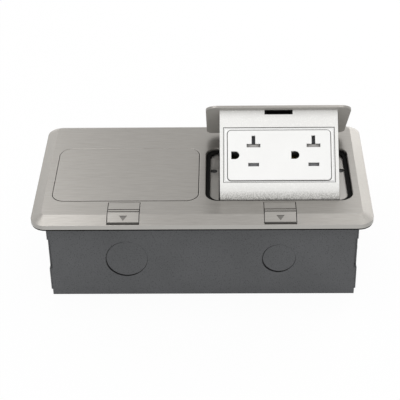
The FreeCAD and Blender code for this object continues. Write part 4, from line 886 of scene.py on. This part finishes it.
def make_floor():
    bpy.ops.object.select_all(action="DESELECT")
    bpy.ops.mesh.primitive_plane_add(
        size=floor_size, location=(0, 0, floor_height - floor_clearance))
    floor = bpy.context.object
    floor.name = "studio_floor"
    bpy.ops.object.transform_apply(location=True)
    material = bpy.data.materials.new("studio_floor")
    material.use_nodes = True
    tree = material.node_tree
    tree.nodes.clear()
    matt = add(tree, "ShaderNodeBsdfDiffuse")
    matt.inputs["Color"].default_value = (0.92, 0.92, 0.92, 1)
    glow = add(tree, "ShaderNodeEmission")
    glow.inputs["Color"].default_value = (1, 1, 1, 1)
    glow_share = math_node(tree, "MULTIPLY", (background_rays(tree), 0), glow_strength)
    join = add(tree, "ShaderNodeMixShader")
    link(tree, glow_share, 0, join, 0)
    link(tree, matt, 0, join, 1)
    link(tree, glow, 0, join, 2)
    link(tree, join, 0, add(tree, "ShaderNodeOutputMaterial"), "Surface")
    floor.data.materials.append(material)


make_floor()
print("floor at", round(floor_height / MM, 2), "mm")

# %% World light
world_tone = (0.80, 0.80, 0.80, 1)
world_strength = 0.75


def make_world():
    world = bpy.data.worlds.new("studio_world")
    bpy.context.scene.world = world
    world.use_nodes = True
    tree = world.node_tree
    tree.nodes.clear()
    soft = add(tree, "ShaderNodeBackground")
    soft.inputs["Color"].default_value = world_tone
    soft.inputs["Strength"].default_value = world_strength
    white = add(tree, "ShaderNodeBackground")
    white.inputs["Color"].default_value = (1, 1, 1, 1)
    join = add(tree, "ShaderNodeMixShader")
    link(tree, background_rays(tree), 0, join, 0)
    link(tree, soft, 0, join, 1)
    link(tree, white, 0, join, 2)
    link(tree, join, 0, add(tree, "ShaderNodeOutputWorld"), "Surface")
    return world


studio_world = make_world()
print("world", studio_world.name)

# %% [markdown]
# ## Lamps
# Brushed metal is lit by what it mirrors, so each soft box is placed where a face of the
# cover mirrors it towards the camera: low over the two ends for the ends of the front
# slope, and behind the left and right ends for the end slopes and the flat top. A wide,
# far fill in front lights the box wall, the receptacle and all else that is not metal.

# %% Lamps
def soft_box(name, place, aim, size, watts):
    """A rectangular area lamp that faces a point; lengths in metres."""
    data = bpy.data.lights.new(name, "AREA")
    data.shape = "RECTANGLE"
    data.size, data.size_y = size
    data.energy = watts
    lamp = bpy.data.objects.new(name, data)
    lamp.location = place
    lamp.rotation_mode = "QUATERNION"
    lamp.rotation_quaternion = (Vector(aim) - Vector(place)).to_track_quat("-Z", "Y")
    bpy.context.scene.collection.objects.link(lamp)


middle = (cad_low + cad_high) / 2
soft_box("front_fill", (0.13, -1.7, 0.9), middle, (2.4, 1.5), 12.7)
soft_box("above_left", (-0.19, -0.06, 0.30), (-0.155, -0.06, 0.0), (0.16, 0.2), 0.28)
soft_box("above_right", (0.195, -0.06, 0.30), (0.155, -0.06, 0.0), (0.16, 0.2), 0.14)
soft_box("behind_left", (-0.56, 0.86, 0.53), (-0.1, 0.0, 0.0), (0.62, 0.70), 1.85)
soft_box("behind_right", (0.56, 0.86, 0.48), (0.1, 0.0, 0.0), (0.62, 0.70), 4.6)
